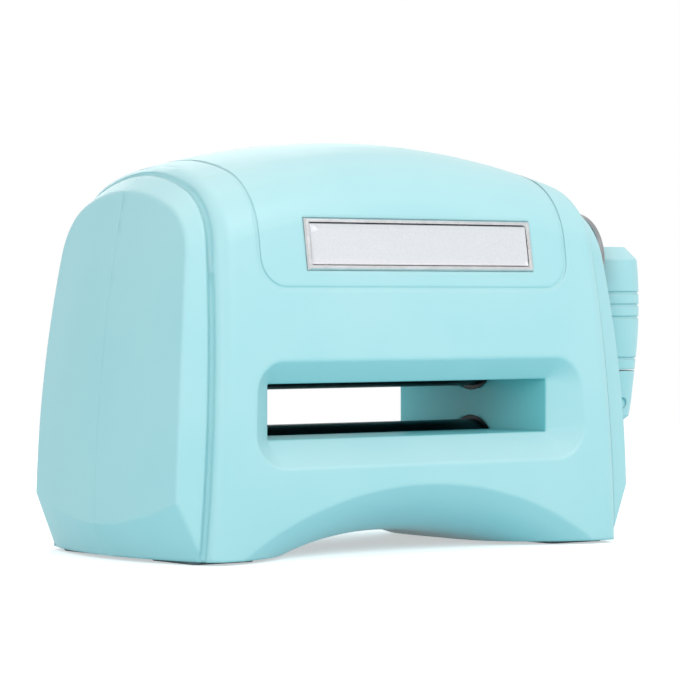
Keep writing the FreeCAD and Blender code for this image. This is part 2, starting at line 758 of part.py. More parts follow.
badge_z = size("foot_drop + badge_level")
badge_lean = math.degrees(math.asin((badge_z - belly_centre_z) / size("belly_radius")))
BADGE_PLACE = FreeCAD.Placement(V(size("badge_across"), -belly_level(badge_z), badge_z),
                                FreeCAD.Rotation(X_AXIS, 90 - badge_lean))
SIDES = (-1, 1)


def centred_box(width, height, low, high):
    return Part.makeBox(width, height, high - low, V(-width / 2, -height / 2, low))


def badge_pocket():
    gap = 2 * size("seat_gap")
    width, height = size("badge_width") + gap, size("badge_height") + gap
    pocket_box = centred_box(width, height, -size("badge_recess"), 2 * size("badge_proud"))
    pocket_box.Placement = BADGE_PLACE
    return pocket_box


def foot_block(x, y, grow, low, high):
    """A pad with round corners, standing upright."""
    length = size("foot_length") + 2 * grow
    width = size("foot_width") + 2 * grow
    block = Part.makeBox(length, width, high - low, V(x - length / 2, y - width / 2, low))
    upright = [edge for edge in block.Edges if edge.BoundBox.ZLength > high - low - 1e-3]
    return block.makeFillet(size("foot_corner") + grow, upright)


def foot_places():
    return [(x * size("foot_across"), y * size("foot_apart")) for x in SIDES for y in SIDES]


def boss_places():
    """Where the screws that close the housing sit, as x and z."""
    rows = (("boss_low_across", "boss_low_level"), ("boss_side_across", "boss_side_level"),
            ("boss_roof_across", "boss_roof_level"))
    return [(side * size(across), lift + size(level)) for across, level in rows for side in SIDES]


def housing_block():
    """The outside of the housing, still solid."""
    cap = rounded_cap()
    block = rounded_ends().fuse([cap, cap.mirror(V(0, 0, 0), X_AXIS)])
    groove = cap_groove()
    block = block.cut([groove, groove.mirror(V(0, 0, 0), X_AXIS)])
    block = softened_mouths(block.cut(throat()))
    hub = rod(size("body_half_length"), size("hub_pad_reach"), size("hub_pad_radius"), 0, crank_z)
    return block.cut([arch(), groove_cut(), badge_pocket()]).fuse(hub)


def housing_cavity():
    """The room inside the housing, less the walls of the throat and the tunnel."""
    cap = cap_form(wall)
    inside = main_form(wall, end_level(roof_level(size("body_half_length"))) - wall)
    inside = inside.fuse([cap, cap.mirror(V(0, 0, 0), X_AXIS)])
    return inside.cut([throat(wall), arch(wall)])


def roller_wells():
    """Clear round room for both rollers, through the channel walls."""
    reach = size(FRAME_INNER)
    radius = size(f"{DRUM_RADIUS} + roller_well_gap")
    return [rod(-reach, reach, radius, 0, level) for level in (upper_z, lower_z)]


def frame_ribs():
    """Upright ribs, in pairs, that hold the edges of both steel frames above and below the mouths."""
    thickness, grip = size("rib_thickness"), size("rib_grip")
    depth = size("belly_depth - frame_half_depth") + grip
    mouth_half = size("slot_opening / 2 + mouth_flare_up") + wall
    runs = [(size("frame_bottom + frame_corner"), slot_z - mouth_half),
            (slot_z + mouth_half, size("frame_top - frame_corner"))]
    starts = [size(FRAME_INNER) - thickness, size(FRAME_OUTER) + size("fit_gap")]
    ribs = []
    for x in starts + [-start - thickness for start in starts]:
        for y in (size("frame_half_depth") - grip, grip - size("frame_half_depth") - depth):
            ribs += [Part.makeBox(thickness, depth, high - low, V(x, y, low)) for low, high in runs]
    return ribs


def make_housing():
    seam = size("seam_gap") / 2
    depth = size("belly_depth") + 5
    block = housing_block()
    hollow = block.cut(housing_cavity())
    backing = main_form(wall / 2)
    seat = size("boss_seat")
    drill = size("boss_screw_radius + seat_gap / 2")
    columns = frame_ribs()
    holes = []
    for x, z in boss_places():
        columns.append(post(-depth, depth, size("boss_radius"), x, z))
        holes.append(post(-size("boss_grip + 1"), seat + 1, drill, x, z))
        holes.append(post(seat, depth, size("boss_head_radius + seat_gap"), x, z))
    hollow = hollow.fuse([column.common(backing) for column in columns])
    holes += roller_wells()
    shaft_room = size("crank_radius + roller_well_gap")
    holes.append(rod(size("slot_width / 2"), size("cap_reach"), shaft_room, 0, crank_z))
    for x, y in foot_places():
        holes.append(foot_block(x, y, size("seat_gap"), -1, lift + size("foot_recess")))
    hollow = hollow.cut(holes)
    length, height = 2 * size("cap_reach") + 20, size("foot_drop + body_height") + 20
    front = hollow.common(Part.makeBox(length, depth, height, V(-length / 2, -depth - seam, -5)))
    rear = hollow.common(Part.makeBox(length, depth, height, V(-length / 2, seam, -5)))
    plain_piece("front_shell", front)
    plain_piece("rear_shell", rear)


def housing_screw(x, z):
    """A long screw from the rear half into the boss of the front half."""
    seat = size("boss_seat")
    shank = post(-size("boss_grip"), seat + 0.1, size("boss_screw_radius"), x, z)
    head = post(seat, seat + size("boss_head"), size("boss_head_radius"), x, z)
    slot_half = size("boss_cross_half_width")
    reach = size("boss_cross_reach")
    floor = seat + size("boss_head") / 2
    bars = [Part.makeBox(2 * a, size("boss_head"), 2 * b, V(x - a, floor, z - b))
            for a, b in ((reach, slot_half), (slot_half, reach))]
    return shank.fuse(head).cut(bars)


def make_fixings():
    screws = [housing_screw(x, z) for x, z in boss_places()]
    plain_piece("housing_screws", Part.makeCompound(screws))
    pads = []
    for x, y in foot_places():
        pad_block = foot_block(x, y, 0, 0, lift + size("foot_recess"))
        rim = [edge for edge in pad_block.Edges if edge.BoundBox.ZMax < 1e-6]
        pads.append(pad_block.makeChamfer(size("foot_drop") / 3, rim))
    plain_piece("rubber_feet", Part.makeCompound(pads))


def tapered_frame(width, height, low, high, draw_in):
    """A block whose sides lean in by the same amount all round."""
    def outline(w, t, level):
        turns = ((-1, -1), (1, -1), (1, 1), (-1, 1), (-1, -1))
        return Part.makePolygon([V(a * w / 2, b * t / 2, level) for a, b in turns])
    base = outline(width, height, low)
    top = outline(width - 2 * draw_in, height - 2 * draw_in, high)
    return Part.makeLoft([base, top], True, True)


def make_badge():
    """A bright rim round a plain plate, under a clear cast lens. It carries no print."""
    width, height = size("badge_width"), size("badge_height")
    rim, recess, proud = size("badge_rim_width"), size("badge_recess"), size("badge_proud")
    inside_w, inside_h = width - 2 * rim, height - 2 * rim
    raised = tapered_frame(width, height, 0, proud, size("badge_rim_bevel_out"))
    body = centred_box(width, height, -recess, 0).fuse(raised)
    flared = tapered_frame(inside_w, inside_h, 0, proud + 0.01, -size("badge_rim_bevel_in"))
    opening = centred_box(inside_w, inside_h, -recess - 1, 0).fuse(flared)
    plain_piece("badge_rim", body.removeSplitter().cut(opening), BADGE_PLACE)
    slack = size("seat_gap") / 3
    plate = centred_box(inside_w - slack, inside_h - slack, -recess, 0)
    plain_piece("badge_plate", plate, BADGE_PLACE)
    dome = size("badge_dome")
    lens = centred_box(inside_w - slack, inside_h - slack, 0, dome)
    edges = [edge for edge in lens.Edges if edge.BoundBox.ZMin > dome - 1e-6]
    plain_piece("badge_lens", lens.makeFillet(size("badge_dome_round"), edges), BADGE_PLACE)


# Gears

def involute_outline(teeth, phase):
    """Outline of a spur gear about the origin, with one tooth centred at the phase angle."""
    module = size("tooth_module")
    pressure = math.radians(size("pressure_angle"))
    pitch = module * teeth / 2
    base = pitch * math.cos(pressure)
    tip = pitch + module
    root = pitch - 1.25 * module

    def polar(involute_angle):
        return math.tan(involute_angle) - involute_angle

    half_tooth = math.pi / (2 * teeth) - size("tooth_backlash") / (2 * pitch)
    flank = []
    steps = 3
    start_radius = max(base, root)
    for i in range(steps + 1):
        radius = start_radius + (tip - start_radius) * i / steps
        angle = math.acos(min(1.0, base / radius))
        flank.append((radius, half_tooth + polar(pressure) - polar(angle)))

    def point(radius, angle):
        return V(0, radius * math.cos(angle), radius * math.sin(angle))

    edges = []
    step = 2 * math.pi / teeth
    for k in range(teeth):
        centre = math.radians(phase) + k * step
        rise = [point(radius, centre - angle) for radius, angle in flank]
        fall = [point(radius, centre + angle) for radius, angle in reversed(flank)]
        foot_before = point(root, centre - flank[0][1])
        foot_after = point(root, centre + flank[0][1])
        next_foot = point(root, centre + step - flank[0][1])
        if root < base:
            edges.append(Part.LineSegment(foot_before, rise[0]).toShape())
        for points in (rise, fall):
            curve = Part.BSplineCurve()
            curve.interpolate(points)
            if points is fall:
                edges.append(Part.Arc(rise[-1], point(tip, centre), fall[0]).toShape())
            edges.append(curve.toShape())
        if root < base:
            edges.append(Part.LineSegment(fall[-1], foot_after).toShape())
        bottom = point(root, centre + step / 2)
        edges.append(Part.Arc(foot_after, bottom, next_foot).toShape())
    return Part.Wire(Part.sortEdges(edges)[0])


def gear_disc(teeth, phase, start, width):
    disc = Part.Face(involute_outline(teeth, phase)).extrude(V(width, 0, 0))
    disc.translate(V(start, 0, 0))
    return disc


def driven_bore(start, end, radius):
    """A round hole with the flat that matches a driving shaft."""
    gap = size("fit_gap")
    hole = rod(start, end, radius + gap, 0, 0)
    ledge = radius - size("shaft_flat") + gap
    return hole.cut(Part.makeBox(end - start, 2 * radius + 1, radius + 1, V(start, -radius - 0.5, ledge)))


def direction_from(y0, z0, y1, z1):
    return math.degrees(math.atan2(z1 - z0, y1 - y0))


def lightening_holes(count, start, end, ring, radius):
    angles = [2 * math.pi * k / count for k in range(count)]
    return [rod(start, end, radius, ring * math.cos(a), ring * math.sin(a)) for a in angles]


def make_gears():
    """Crank pinion, two-step idler and the two roller gears, with teeth in mesh at rest."""
    width = size("gear_width")
    pinion, idler, roller = (int(size(name)) for name in ("pinion_teeth", "idler_teeth", "roller_teeth"))
    high_x, low_x = size(CRANK_GEAR_START), size(ROLLER_GEAR_START)
    to_idler = direction_from(0, crank_z, idler_y, idler_z)
    to_roller = direction_from(idler_y, idler_z, 0, upper_z)

    crank_gear = gear_disc(pinion, to_idler, high_x, width)
    crank_gear = crank_gear.cut(driven_bore(high_x - 1, high_x + width + 1, size("crank_radius")))
    plain_piece("crank_pinion", crank_gear, FreeCAD.Placement(V(0, 0, crank_z), FreeCAD.Rotation()))

    wheel = gear_disc(idler, to_idler + 180 + 180 / idler, high_x, width)
    small = gear_disc(pinion, to_roller, low_x, width)
    neck = rod(low_x + width - 0.5, high_x + 0.5, size("idler_axle_radius + bush_wall"), 0, 0)
    bore = rod(low_x - 1, high_x + width + 1, size("idler_axle_radius + fit_gap"), 0, 0)
    plain_piece("idler_gear", wheel.fuse([neck, small]).cut(bore),
                FreeCAD.Placement(V(0, idler_y, idler_z), FreeCAD.Rotation()))

    upper_phase = to_roller + 180 + 180 / roller
    pitch_angle = 360 / roller
    offset = (upper_phase + 90) % pitch_angle
    lower_phase = 90 + pitch_angle / 2 - offset
    ring = size(f"({PITCH_SPACING} / 2 - tooth_module * 1.25 + spigot_radius) / 2")
    for name, phase, level in (("upper_roller_gear", upper_phase, upper_z),
                               ("lower_roller_gear", lower_phase, lower_z)):
        gear = gear_disc(roller, phase, low_x, width)
        cuts = [driven_bore(low_x - 1, low_x + width + 1, size("spigot_radius"))]
        cuts += lightening_holes(6, low_x - 1, low_x + width + 1, ring, size("spigot_radius") / 2)
        plain_piece(name, gear.cut(cuts), FreeCAD.Placement(V(0, 0, level), FreeCAD.Rotation()))


# Rollers, bushes and shafts

def flat_on(body, start, end, radius):
    """Cut a driving flat along part of a turned shaft."""
    sketch = new_sketch(body, f"{body.Label}_flat", "XZ_Plane")
    ledge = f"{radius} - shaft_flat"
    draw_polygon(sketch, [(start, ledge), (end, ledge), (end, f"{radius} + 1"), (start, f"{radius} + 1")])
    pocket(body, sketch)


CLIP_GAP = "roller_end_gap / 3"
LEFT_CLIP = f"0 - ({FRAME_OUTER}) - {CLIP_GAP} - clip_thickness"
RIGHT_CLIP = f"{ROLLER_GEAR_END} + {CLIP_GAP}"
DRUM_END = "slot_width / 2 + housing_wall - bush_flange - roller_end_gap"


def grooved(corners, start, radius):
    """Corners of a clip groove, added to a run of profile corners."""
    depth = "clip_depth"
    slack = "clip_thickness + fit_gap"
    corners += [(start, radius), (start, f"{radius} - {depth}"),
                (f"{start} + {slack}", f"{radius} - {depth}"), (f"{start} + {slack}", radius)]


def make_rollers():
    for name, level in (("upper_roller", UPPER_AXIS), ("lower_roller", LOWER_AXIS)):
        left_end = f"{LEFT_CLIP} - clip_rim"
        right_end = f"{RIGHT_CLIP} + clip_thickness + clip_rim"
        shoulder_end = f"{ROLLER_GEAR_START} - {CLIP_GAP}"
        corners = [(left_end, "0"), (left_end, "journal_radius")]
        grooved(corners, LEFT_CLIP, "journal_radius")
        corners += [(f"0 - ({DRUM_END})", "journal_radius"), (f"0 - ({DRUM_END})", DRUM_RADIUS),
                    (DRUM_END, DRUM_RADIUS), (DRUM_END, "journal_radius"),
                    (shoulder_end, "journal_radius"), (shoulder_end, "spigot_radius")]
        grooved(corners, RIGHT_CLIP, "spigot_radius")
        corners += [(right_end, "spigot_radius"), (right_end, "0")]
        roller = turned_piece(name, corners, z=level)
        flat_on(roller, shoulder_end, f"{right_end} + 1", "spigot_radius")


def clip_ring(start, shaft_radius):
    """A spring clip: a flat ring with a gap at the bottom."""
    inner = shaft_radius - size("clip_depth") + size("fit_gap")
    outer = shaft_radius + size("clip_rim")
    thick = size("clip_thickness")
    ring = rod(start, start + thick, outer, 0, 0).cut(rod(start - 1, start + thick + 1, inner, 0, 0))
    return ring.cut(Part.makeBox(thick + 2, inner, outer + 1, V(start - 1, -inner / 2, -outer - 1)))


def make_clips():
    for name, level in (("upper_roller_clips", upper_z), ("lower_roller_clips", lower_z)):
        rings = [clip_ring(size(LEFT_CLIP) + size("fit_gap") / 2, size("journal_radius")),
                 clip_ring(size(RIGHT_CLIP) + size("fit_gap") / 2, size("spigot_radius"))]
        plain_piece(name, Part.makeCompound(rings), FreeCAD.Placement(V(0, 0, level), FreeCAD.Rotation()))


def make_bushes():
    """Flanged bushes: the flange shows in the channel wall round the end of each roller."""
    bore = "journal_radius + fit_gap"
    barrel = "journal_radius + bush_wall"
    for side in ("left", "right"):
        sign = "0 - " if side == "left" else ""
        start, step, end = (f"{sign}({place})" for place in
                            (f"{FRAME_INNER} - bush_flange", FRAME_INNER, FRAME_OUTER))
        corners = [(start, bore), (start, "bush_flange_radius"), (step, "bush_flange_radius"),
                   (step, barrel), (end, barrel), (end, bore)]
        for row, level in (("upper", UPPER_AXIS), ("lower", LOWER_AXIS)):
            turned_piece(f"{row}_{side}_bush", corners, z=level)
    bore = "crank_radius + fit_gap"
    barrel = "crank_radius + crank_bush_wall"
    flange = f"{barrel} + 2"
    flange_edge = f"{FRAME_OUTER} + gear_side_gap"
    turned_piece("crank_inner_bush", [(FRAME_INNER, bore), (FRAME_INNER, barrel),
                                      (FRAME_OUTER, barrel), (FRAME_OUTER, flange),
                                      (flange_edge, flange), (flange_edge, bore)], z=CRANK_AXIS)
    flange_edge = f"{GEAR_PLATE_INNER} - gear_side_gap"
    turned_piece("crank_outer_bush", [(flange_edge, bore), (flange_edge, flange),
                                      (GEAR_PLATE_INNER, flange), (GEAR_PLATE_INNER, barrel),
                                      (GEAR_PLATE_OUTER, barrel), (GEAR_PLATE_OUTER, bore)], z=CRANK_AXIS)


SHAFT_END = f"{ARM_OUTER} - washer_thickness - arm_screw_head - roller_end_gap"


def make_crank_shaft():
    start = f"{FRAME_INNER} + roller_end_gap"
    collar_end = f"{CRANK_GEAR_START} - {CLIP_GAP}"
    collar = "crank_radius + shaft_flat"
    hole_start = f"{SHAFT_END} - screw_length - 2"
    hole = "screw_radius + fit_gap"
    corners = [(start, "0"), (start, "crank_radius"), (f"{collar_end} - crank_collar", "crank_radius"),
               (f"{collar_end} - crank_collar", collar), (collar_end, collar), (collar_end, "crank_radius"),
               (SHAFT_END, "crank_radius"), (SHAFT_END, hole), (hole_start, hole), (hole_start, "0")]
    shaft = turned_piece("crank_shaft", corners, z=CRANK_AXIS)
    flat_on(shaft, collar_end, f"{CRANK_GEAR_END} + {CLIP_GAP}", "crank_radius")
    flat_on(shaft, "hub_pad_reach + hub_gap", f"{SHAFT_END} + 1", "crank_radius")


def make_idler_axle():
    """A headed axle from the gear plate to the right frame, and the idler's two washers."""
    head = "idler_axle_radius + clip_rim"
    tip = f"{GEAR_PLATE_OUTER} + gear_side_gap"
    turned_piece("idler_axle", [(FRAME_INNER, "0"), (FRAME_INNER, "idler_axle_radius"),
                                (GEAR_PLATE_OUTER, "idler_axle_radius"), (GEAR_PLATE_OUTER, head),
                                (tip, head), (tip, "0")], y=IDLER_Y, z=IDLER_Z)
    bore = size("idler_axle_radius + fit_gap")
    rim = size("idler_axle_radius + bush_wall")
    slack = size(CLIP_GAP)
    gaps = ((size(FRAME_OUTER), size(ROLLER_GEAR_START) - slack),
            (size(CRANK_GEAR_END) + slack, size(GEAR_PLATE_INNER)))
    rings = [rod(start, end, rim, 0, 0).cut(rod(start - 1, end + 1, bore, 0, 0)) for start, end in gaps]
    plain_piece("idler_washers", Part.makeCompound(rings),
                FreeCAD.Placement(V(0, idler_y, idler_z), FreeCAD.Rotation()))


# Steel frame

TIES = [(f"{sign}tie_across", level) for level in ("tie_low", "tie_high") for sign in ("0 - ", "")]


def make_frames():
    for side in ("left", "right"):
        body = new_body(f"{side}_frame")
        offset = FRAME_INNER if side == "right" else f"0 - ({FRAME_OUTER})"
        sketch = new_sketch(body, f"{side}_frame_outline", "YZ_Plane", offset)
        draw_rounded_box(sketch, "0 - frame_half_depth", "frame_half_depth", "frame_bottom", "frame_top",
                         "frame_corner")
        for level in (UPPER_AXIS, LOWER_AXIS):
            draw_circle(sketch, "0", level, "journal_radius + bush_wall + fit_gap")
        for across, level in TIES:
            draw_circle(sketch, across, level, "screw_radius + seat_gap")
        if side == "right":
            draw_circle(sketch, "0", CRANK_AXIS, "crank_radius + crank_bush_wall + fit_gap")
            draw_circle(sketch, IDLER_Y, IDLER_Z, "idler_axle_radius + fit_gap")
            for across, level in spacer_places():
                draw_circle(sketch, across, level, "screw_radius + fit_gap")
        pad(body, sketch, "frame_thickness")
        PARTS.append(body)


def spacer_places():
    """Four posts round the gear train. The lower pair is level with the notch between the
    idler and the upper roller gear, where the rear one stands clear of both."""
    room = size("tooth_module + spacer_radius + spacer_gap")
    from_idler = size("tooth_module * idler_teeth / 2") + room
    from_roller = size(f"{PITCH_SPACING} / 2") + room
    bend = math.acos((from_roller**2 + idler_to_roller**2 - from_idler**2)
                     / (2 * from_roller * idler_to_roller))
    heading = math.atan2(idler_z - upper_z, idler_y) - bend
    notch_y = f"{from_roller * math.cos(heading):.3f}"
    low = f"{upper_z + from_roller * math.sin(heading):.3f}"
    high = f"{CRANK_AXIS} + spacer_rise"
    return [("0 - spacer_front", high), (f"{IDLER_Y} + spacer_behind", high),
            (notch_y, low), ("0 - spacer_low_front", low)]


def make_gear_plate():
    body = new_body("gear_plate")
    sketch = new_sketch(body, "gear_plate_outline", "YZ_Plane", GEAR_PLATE_INNER)
    edge = "spacer_radius + plate_margin"
    places = [(across, level) for across, level in spacer_places()]
    outline = [(f"{places[3][0]} - ({edge})", f"{places[3][1]} - ({edge})"),
               (f"{places[2][0]} + {edge}", f"{places[2][1]} - ({edge})"),
               (f"{places[2][0]} + {edge}", f"{places[2][1]} + {edge}"),
               (f"{places[1][0]} + {edge}", f"{places[1][1]} + {edge}"),
               (f"{places[0][0]} - ({edge})", f"{places[0][1]} + {edge}"),
               (f"{places[3][0]} - ({edge})", f"{places[3][1]} + {edge}")]
    draw_polygon(sketch, outline)
    draw_circle(sketch, "0", CRANK_AXIS, "crank_radius + crank_bush_wall + fit_gap")
    draw_circle(sketch, IDLER_Y, IDLER_Z, "idler_axle_radius + fit_gap")
    for across, level in places:
        draw_circle(sketch, across, level, "screw_radius + seat_gap")
    pad(body, sketch, "gear_plate_thickness")
    soften(body, "Fillet", "plate_margin", lambda edge: edge.BoundBox.XLength > 1
           and edge.BoundBox.YLength < 1e-3 and edge.BoundBox.ZLength < 1e-3 and len(edge.Vertexes) == 2)
    PARTS.append(body)


def hex_screw(seat, direction, y, z, length):
    """A pan head screw along X with a hexagon socket. Its head faces the direction, +1 or -1."""
    head_end = seat + direction * size("screw_head")
    tip = seat - direction * length
    low, high = sorted((seat, head_end))
    head = rod(low, high, size("screw_head_radius"), y, z)
    rim = [edge for edge in head.Edges if abs(edge.BoundBox.XMin - head_end) < 1e-6 and edge.Length > 1
           and edge.BoundBox.XLength < 1e-6]
    head = head.makeChamfer(size("screw_head_bevel"), rim)
    low, high = sorted((seat, tip))
    shank = rod(low - 0.01, high + 0.01, size("screw_radius"), y, z)
    across = size("screw_socket_radius")
    turns = [math.radians(60 * k) for k in range(7)]
    corners = [V(head_end, y + across * math.cos(a), z + across * math.sin(a)) for a in turns]
    socket = Part.Face(Part.makePolygon(corners))
    socket = socket.extrude(V(-direction * size("screw_socket_depth"), 0, 0))
    return head.fuse(shank).cut(socket)


def make_ties_and_screws():
    inner, outer = size(FRAME_INNER), size(FRAME_OUTER)
    plate_in, plate_out = size(GEAR_PLATE_INNER), size(GEAR_PLATE_OUTER)
    length = size("screw_length")
    hole = size("screw_radius + fit_gap")
    depth = length - size("frame_thickness - gear_side_gap")
    rods = []
    frame_screws = []
    for across, level in TIES:
        y, z = size(across), size(level)
        tie = rod(-inner, inner, size("tie_radius"), y, z)
        rods.append(tie.cut([rod(inner - depth, inner + 1, hole, y, z),
                             rod(-inner - 1, depth - inner, hole, y, z)]))
        frame_screws += [hex_screw(side * outer, side, y, z, length) for side in SIDES]
    plain_piece("tie_rods", Part.makeCompound(rods))
    plain_piece("frame_screws", Part.makeCompound(frame_screws))
    posts = []
    plate_screws = []
    for across, level in spacer_places():
        y, z = size(across), size(level)
        spacer = rod(outer, plate_in, size("spacer_radius"), y, z)
        spacer = spacer.fuse(rod(inner, outer + 1, size("screw_radius"), y, z))
        posts.append(spacer.cut(rod(plate_in - length + 1, plate_in + 1, hole, y, z)))
        plate_screws.append(hex_screw(plate_out, 1, y, z, length))
    plain_piece("gear_plate_spacers", Part.makeCompound(posts))
    plain_piece("gear_plate_screws", Part.makeCompound(plate_screws))


# Crank and folding grip

def draw_driven_hole(sketch, up, radius):
    """A round hole with one flat at its top, on the sketch's vertical axis."""
    centre, r = size(up), size(radius)
    ledge = size(f"{radius} - shaft_flat")
    half = math.acos(ledge / r)
    circle = Part.Circle(V(0, centre, 0), Z_AXIS, r)
    arc = sketch.addGeometry(Part.ArcOfCircle(circle, math.pi / 2 + half, math.pi * 2.5 - half), False)
    line = sketch.addGeometry(Part.LineSegment(sketch.getPoint(arc, 2), sketch.getPoint(arc, 1)), False)
    sketch.addConstraint(Sketcher.Constraint("Coincident", arc, 2, line, 1))
    sketch.addConstraint(Sketcher.Constraint("Coincident", line, 2, arc, 1))
    place_point(sketch, arc, 3, "0", up)
    number = sketch.addConstraint(Sketcher.Constraint("Radius", arc, r))
    sketch.setExpression(f"Constraints[{number}]", link(radius))
    sketch.addConstraint(Sketcher.Constraint("Horizontal", line))
    number = sketch.addConstraint(Sketcher.Constraint("DistanceY", -1, 1, line, 1, centre + ledge))
    sketch.setExpression(f"Constraints[{number}]", link(f"{up} + {radius} - shaft_flat"))


def make_crank_arm():
    body = new_body("crank_arm")
    sketch = new_sketch(body, "arm_outline", "YZ_Plane", "arm_inner")
    draw_tapered_bar(sketch, CRANK_AXIS, f"{PIN_LEVEL} + arm_end_rise", "arm_hub_radius", "arm_end_radius")
    pad(body, sketch, "arm_thickness")
    outer = size(ARM_OUTER)
    soften(body, "Fillet", "arm_pocket_depth", lambda edge: edge.BoundBox.XLength < 1e-3
           and edge.BoundBox.XMin > outer - 1e-3)
    sketch = new_sketch(body, "hub_outline", "YZ_Plane", "hub_pad_reach + hub_gap")
    draw_circle(sketch, "0", CRANK_AXIS, "hub_radius")
    pad(body, sketch, "arm_inner - hub_pad_reach - hub_gap")
    sketch = new_sketch(body, "tongue_bar", "XZ_Plane")
    root = f"{ARM_OUTER} - arm_pocket_depth"
    low, high = f"{PIN_LEVEL} - tongue_radius", f"{PIN_LEVEL} + tongue_radius"
    draw_polygon(sketch, [(root, low), ("grip_axis", low), ("grip_axis", high), (root, high)])
    pad(body, sketch, "tongue_thickness", symmetric=True)
    sketch = new_sketch(body, "tongue_end", "XZ_Plane")
    draw_circle(sketch, "grip_axis", PIN_LEVEL, "tongue_radius")
    pad(body, sketch, "tongue_thickness", symmetric=True)
    sketch = new_sketch(body, "pin_hole", "XZ_Plane")
    draw_circle(sketch, "grip_axis", PIN_LEVEL, "grip_pin_radius + fit_gap")
    pocket(body, sketch)
    sketch = new_sketch(body, "shaft_hole", "YZ_Plane")
    draw_driven_hole(sketch, CRANK_AXIS, "crank_radius + fit_gap")
    pocket(body, sketch)
    sketch = new_sketch(body, "screw_recess", "YZ_Plane", ARM_OUTER)
    draw_circle(sketch, "0", CRANK_AXIS, "washer_radius + fit_gap")
    pocket(body, sketch, f"{ARM_OUTER} - ({SHAFT_END})")
    sketch = new_sketch(body, "arm_pocket", "YZ_Plane", ARM_OUTER)
    draw_tapered_bar(sketch, f"{CRANK_AXIS} - disc_radius - arm_hub_radius / 2 - arm_rim / 2",
                     f"{PIN_LEVEL} + tongue_radius + arm_end_radius",
                     "arm_hub_radius / 2 + 1", "arm_end_radius - arm_rim")
    pocket(body, sketch, "arm_pocket_depth")
    PARTS.append(body)


def make_hub_pieces():
    """Washer, screw and the bright disc that covers them."""
    face = f"{ARM_OUTER} + disc_thickness"
    dish = f"{face} - disc_bevel"
    turned_piece("hub_disc", [(ARM_OUTER, "0"), (ARM_OUTER, "disc_radius"), (dish, "disc_radius"),
                              (face, "disc_radius - disc_bevel"), (face, "disc_radius - disc_rim"),
                              (dish, "disc_radius - disc_rim - 2 * disc_bevel"), (dish, "0")], z=CRANK_AXIS)
    washer_face = f"{SHAFT_END} + washer_thickness"
    bore, rim = "screw_radius + fit_gap", "washer_radius - fit_gap"
    outline = [(SHAFT_END, bore), (SHAFT_END, rim), (washer_face, rim), (washer_face, bore)]
    turned_piece("arm_washer", outline,
                 z=CRANK_AXIS)
    head_top = f"{washer_face} + arm_screw_head"
    tip = f"{SHAFT_END} - screw_length"
    socket = "screw_radius * 0.5"
    turned_piece("arm_screw", [(tip, "0"), (tip, "screw_radius"), (washer_face, "screw_radius"),
                               (washer_face, "screw_head_radius"), (head_top, "screw_head_radius"),
                               (head_top, socket), (f"{washer_face} + arm_screw_head / 2", socket),
                               (f"{washer_face} + arm_screw_head / 2", "0")], z=CRANK_AXIS)


SEAM_LEVEL = "foot_drop + grip_seam_level"


def make_fork():
    """The hinged foot of the grip: a turned foot, slotted for the arm's tongue."""
    body = new_body("grip_fork")
    foot = f"{PIN_LEVEL} - fork_foot_radius"
    sketch = new_sketch(body, "fork_profile", "XZ_Plane")
    draw_polygon(sketch, [("0", foot), ("fork_foot_radius - fork_edge", foot),
                          ("grip_foot_radius - fork_edge", f"{foot} + 2.5 * fork_edge"),
                          ("grip_foot_radius", PIN_LEVEL), ("grip_neck_radius", SEAM_LEVEL),
                          ("0", SEAM_LEVEL)])
    turn(body, sketch, "V_Axis")
    room = "tongue_radius + fork_side_gap"
    left, low = "0 - 2 * grip_neck_radius", f"{PIN_LEVEL} - 2 * grip_neck_radius"
    slot_width = "tongue_thickness + 2 * fork_side_gap"
    sketch = new_sketch(body, "fork_slot", "XZ_Plane")
    draw_polygon(sketch, [(left, low), (room, low), (room, PIN_LEVEL), ("0", PIN_LEVEL),
                          ("0", f"{PIN_LEVEL} + {room}"), (left, f"{PIN_LEVEL} + {room}")])
    pocket(body, sketch, slot_width, symmetric=True)
    sketch = new_sketch(body, "fork_slot_end", "XZ_Plane")
    draw_circle(sketch, "0", PIN_LEVEL, room)
    pocket(body, sketch, slot_width, symmetric=True)
    sketch = new_sketch(body, "fork_pin_hole", "XZ_Plane")
    draw_circle(sketch, "0", PIN_LEVEL, "grip_pin_radius + fit_gap / 2")
    pocket(body, sketch)
    sketch = new_sketch(body, "spindle_hole", "XY_Plane", SEAM_LEVEL)
    draw_circle(sketch, "0", "0", "spindle_radius + fit_gap / 2")
    pocket(body, sketch, "spindle_depth")
    move_to(body, x="grip_axis")
    PARTS.append(body)


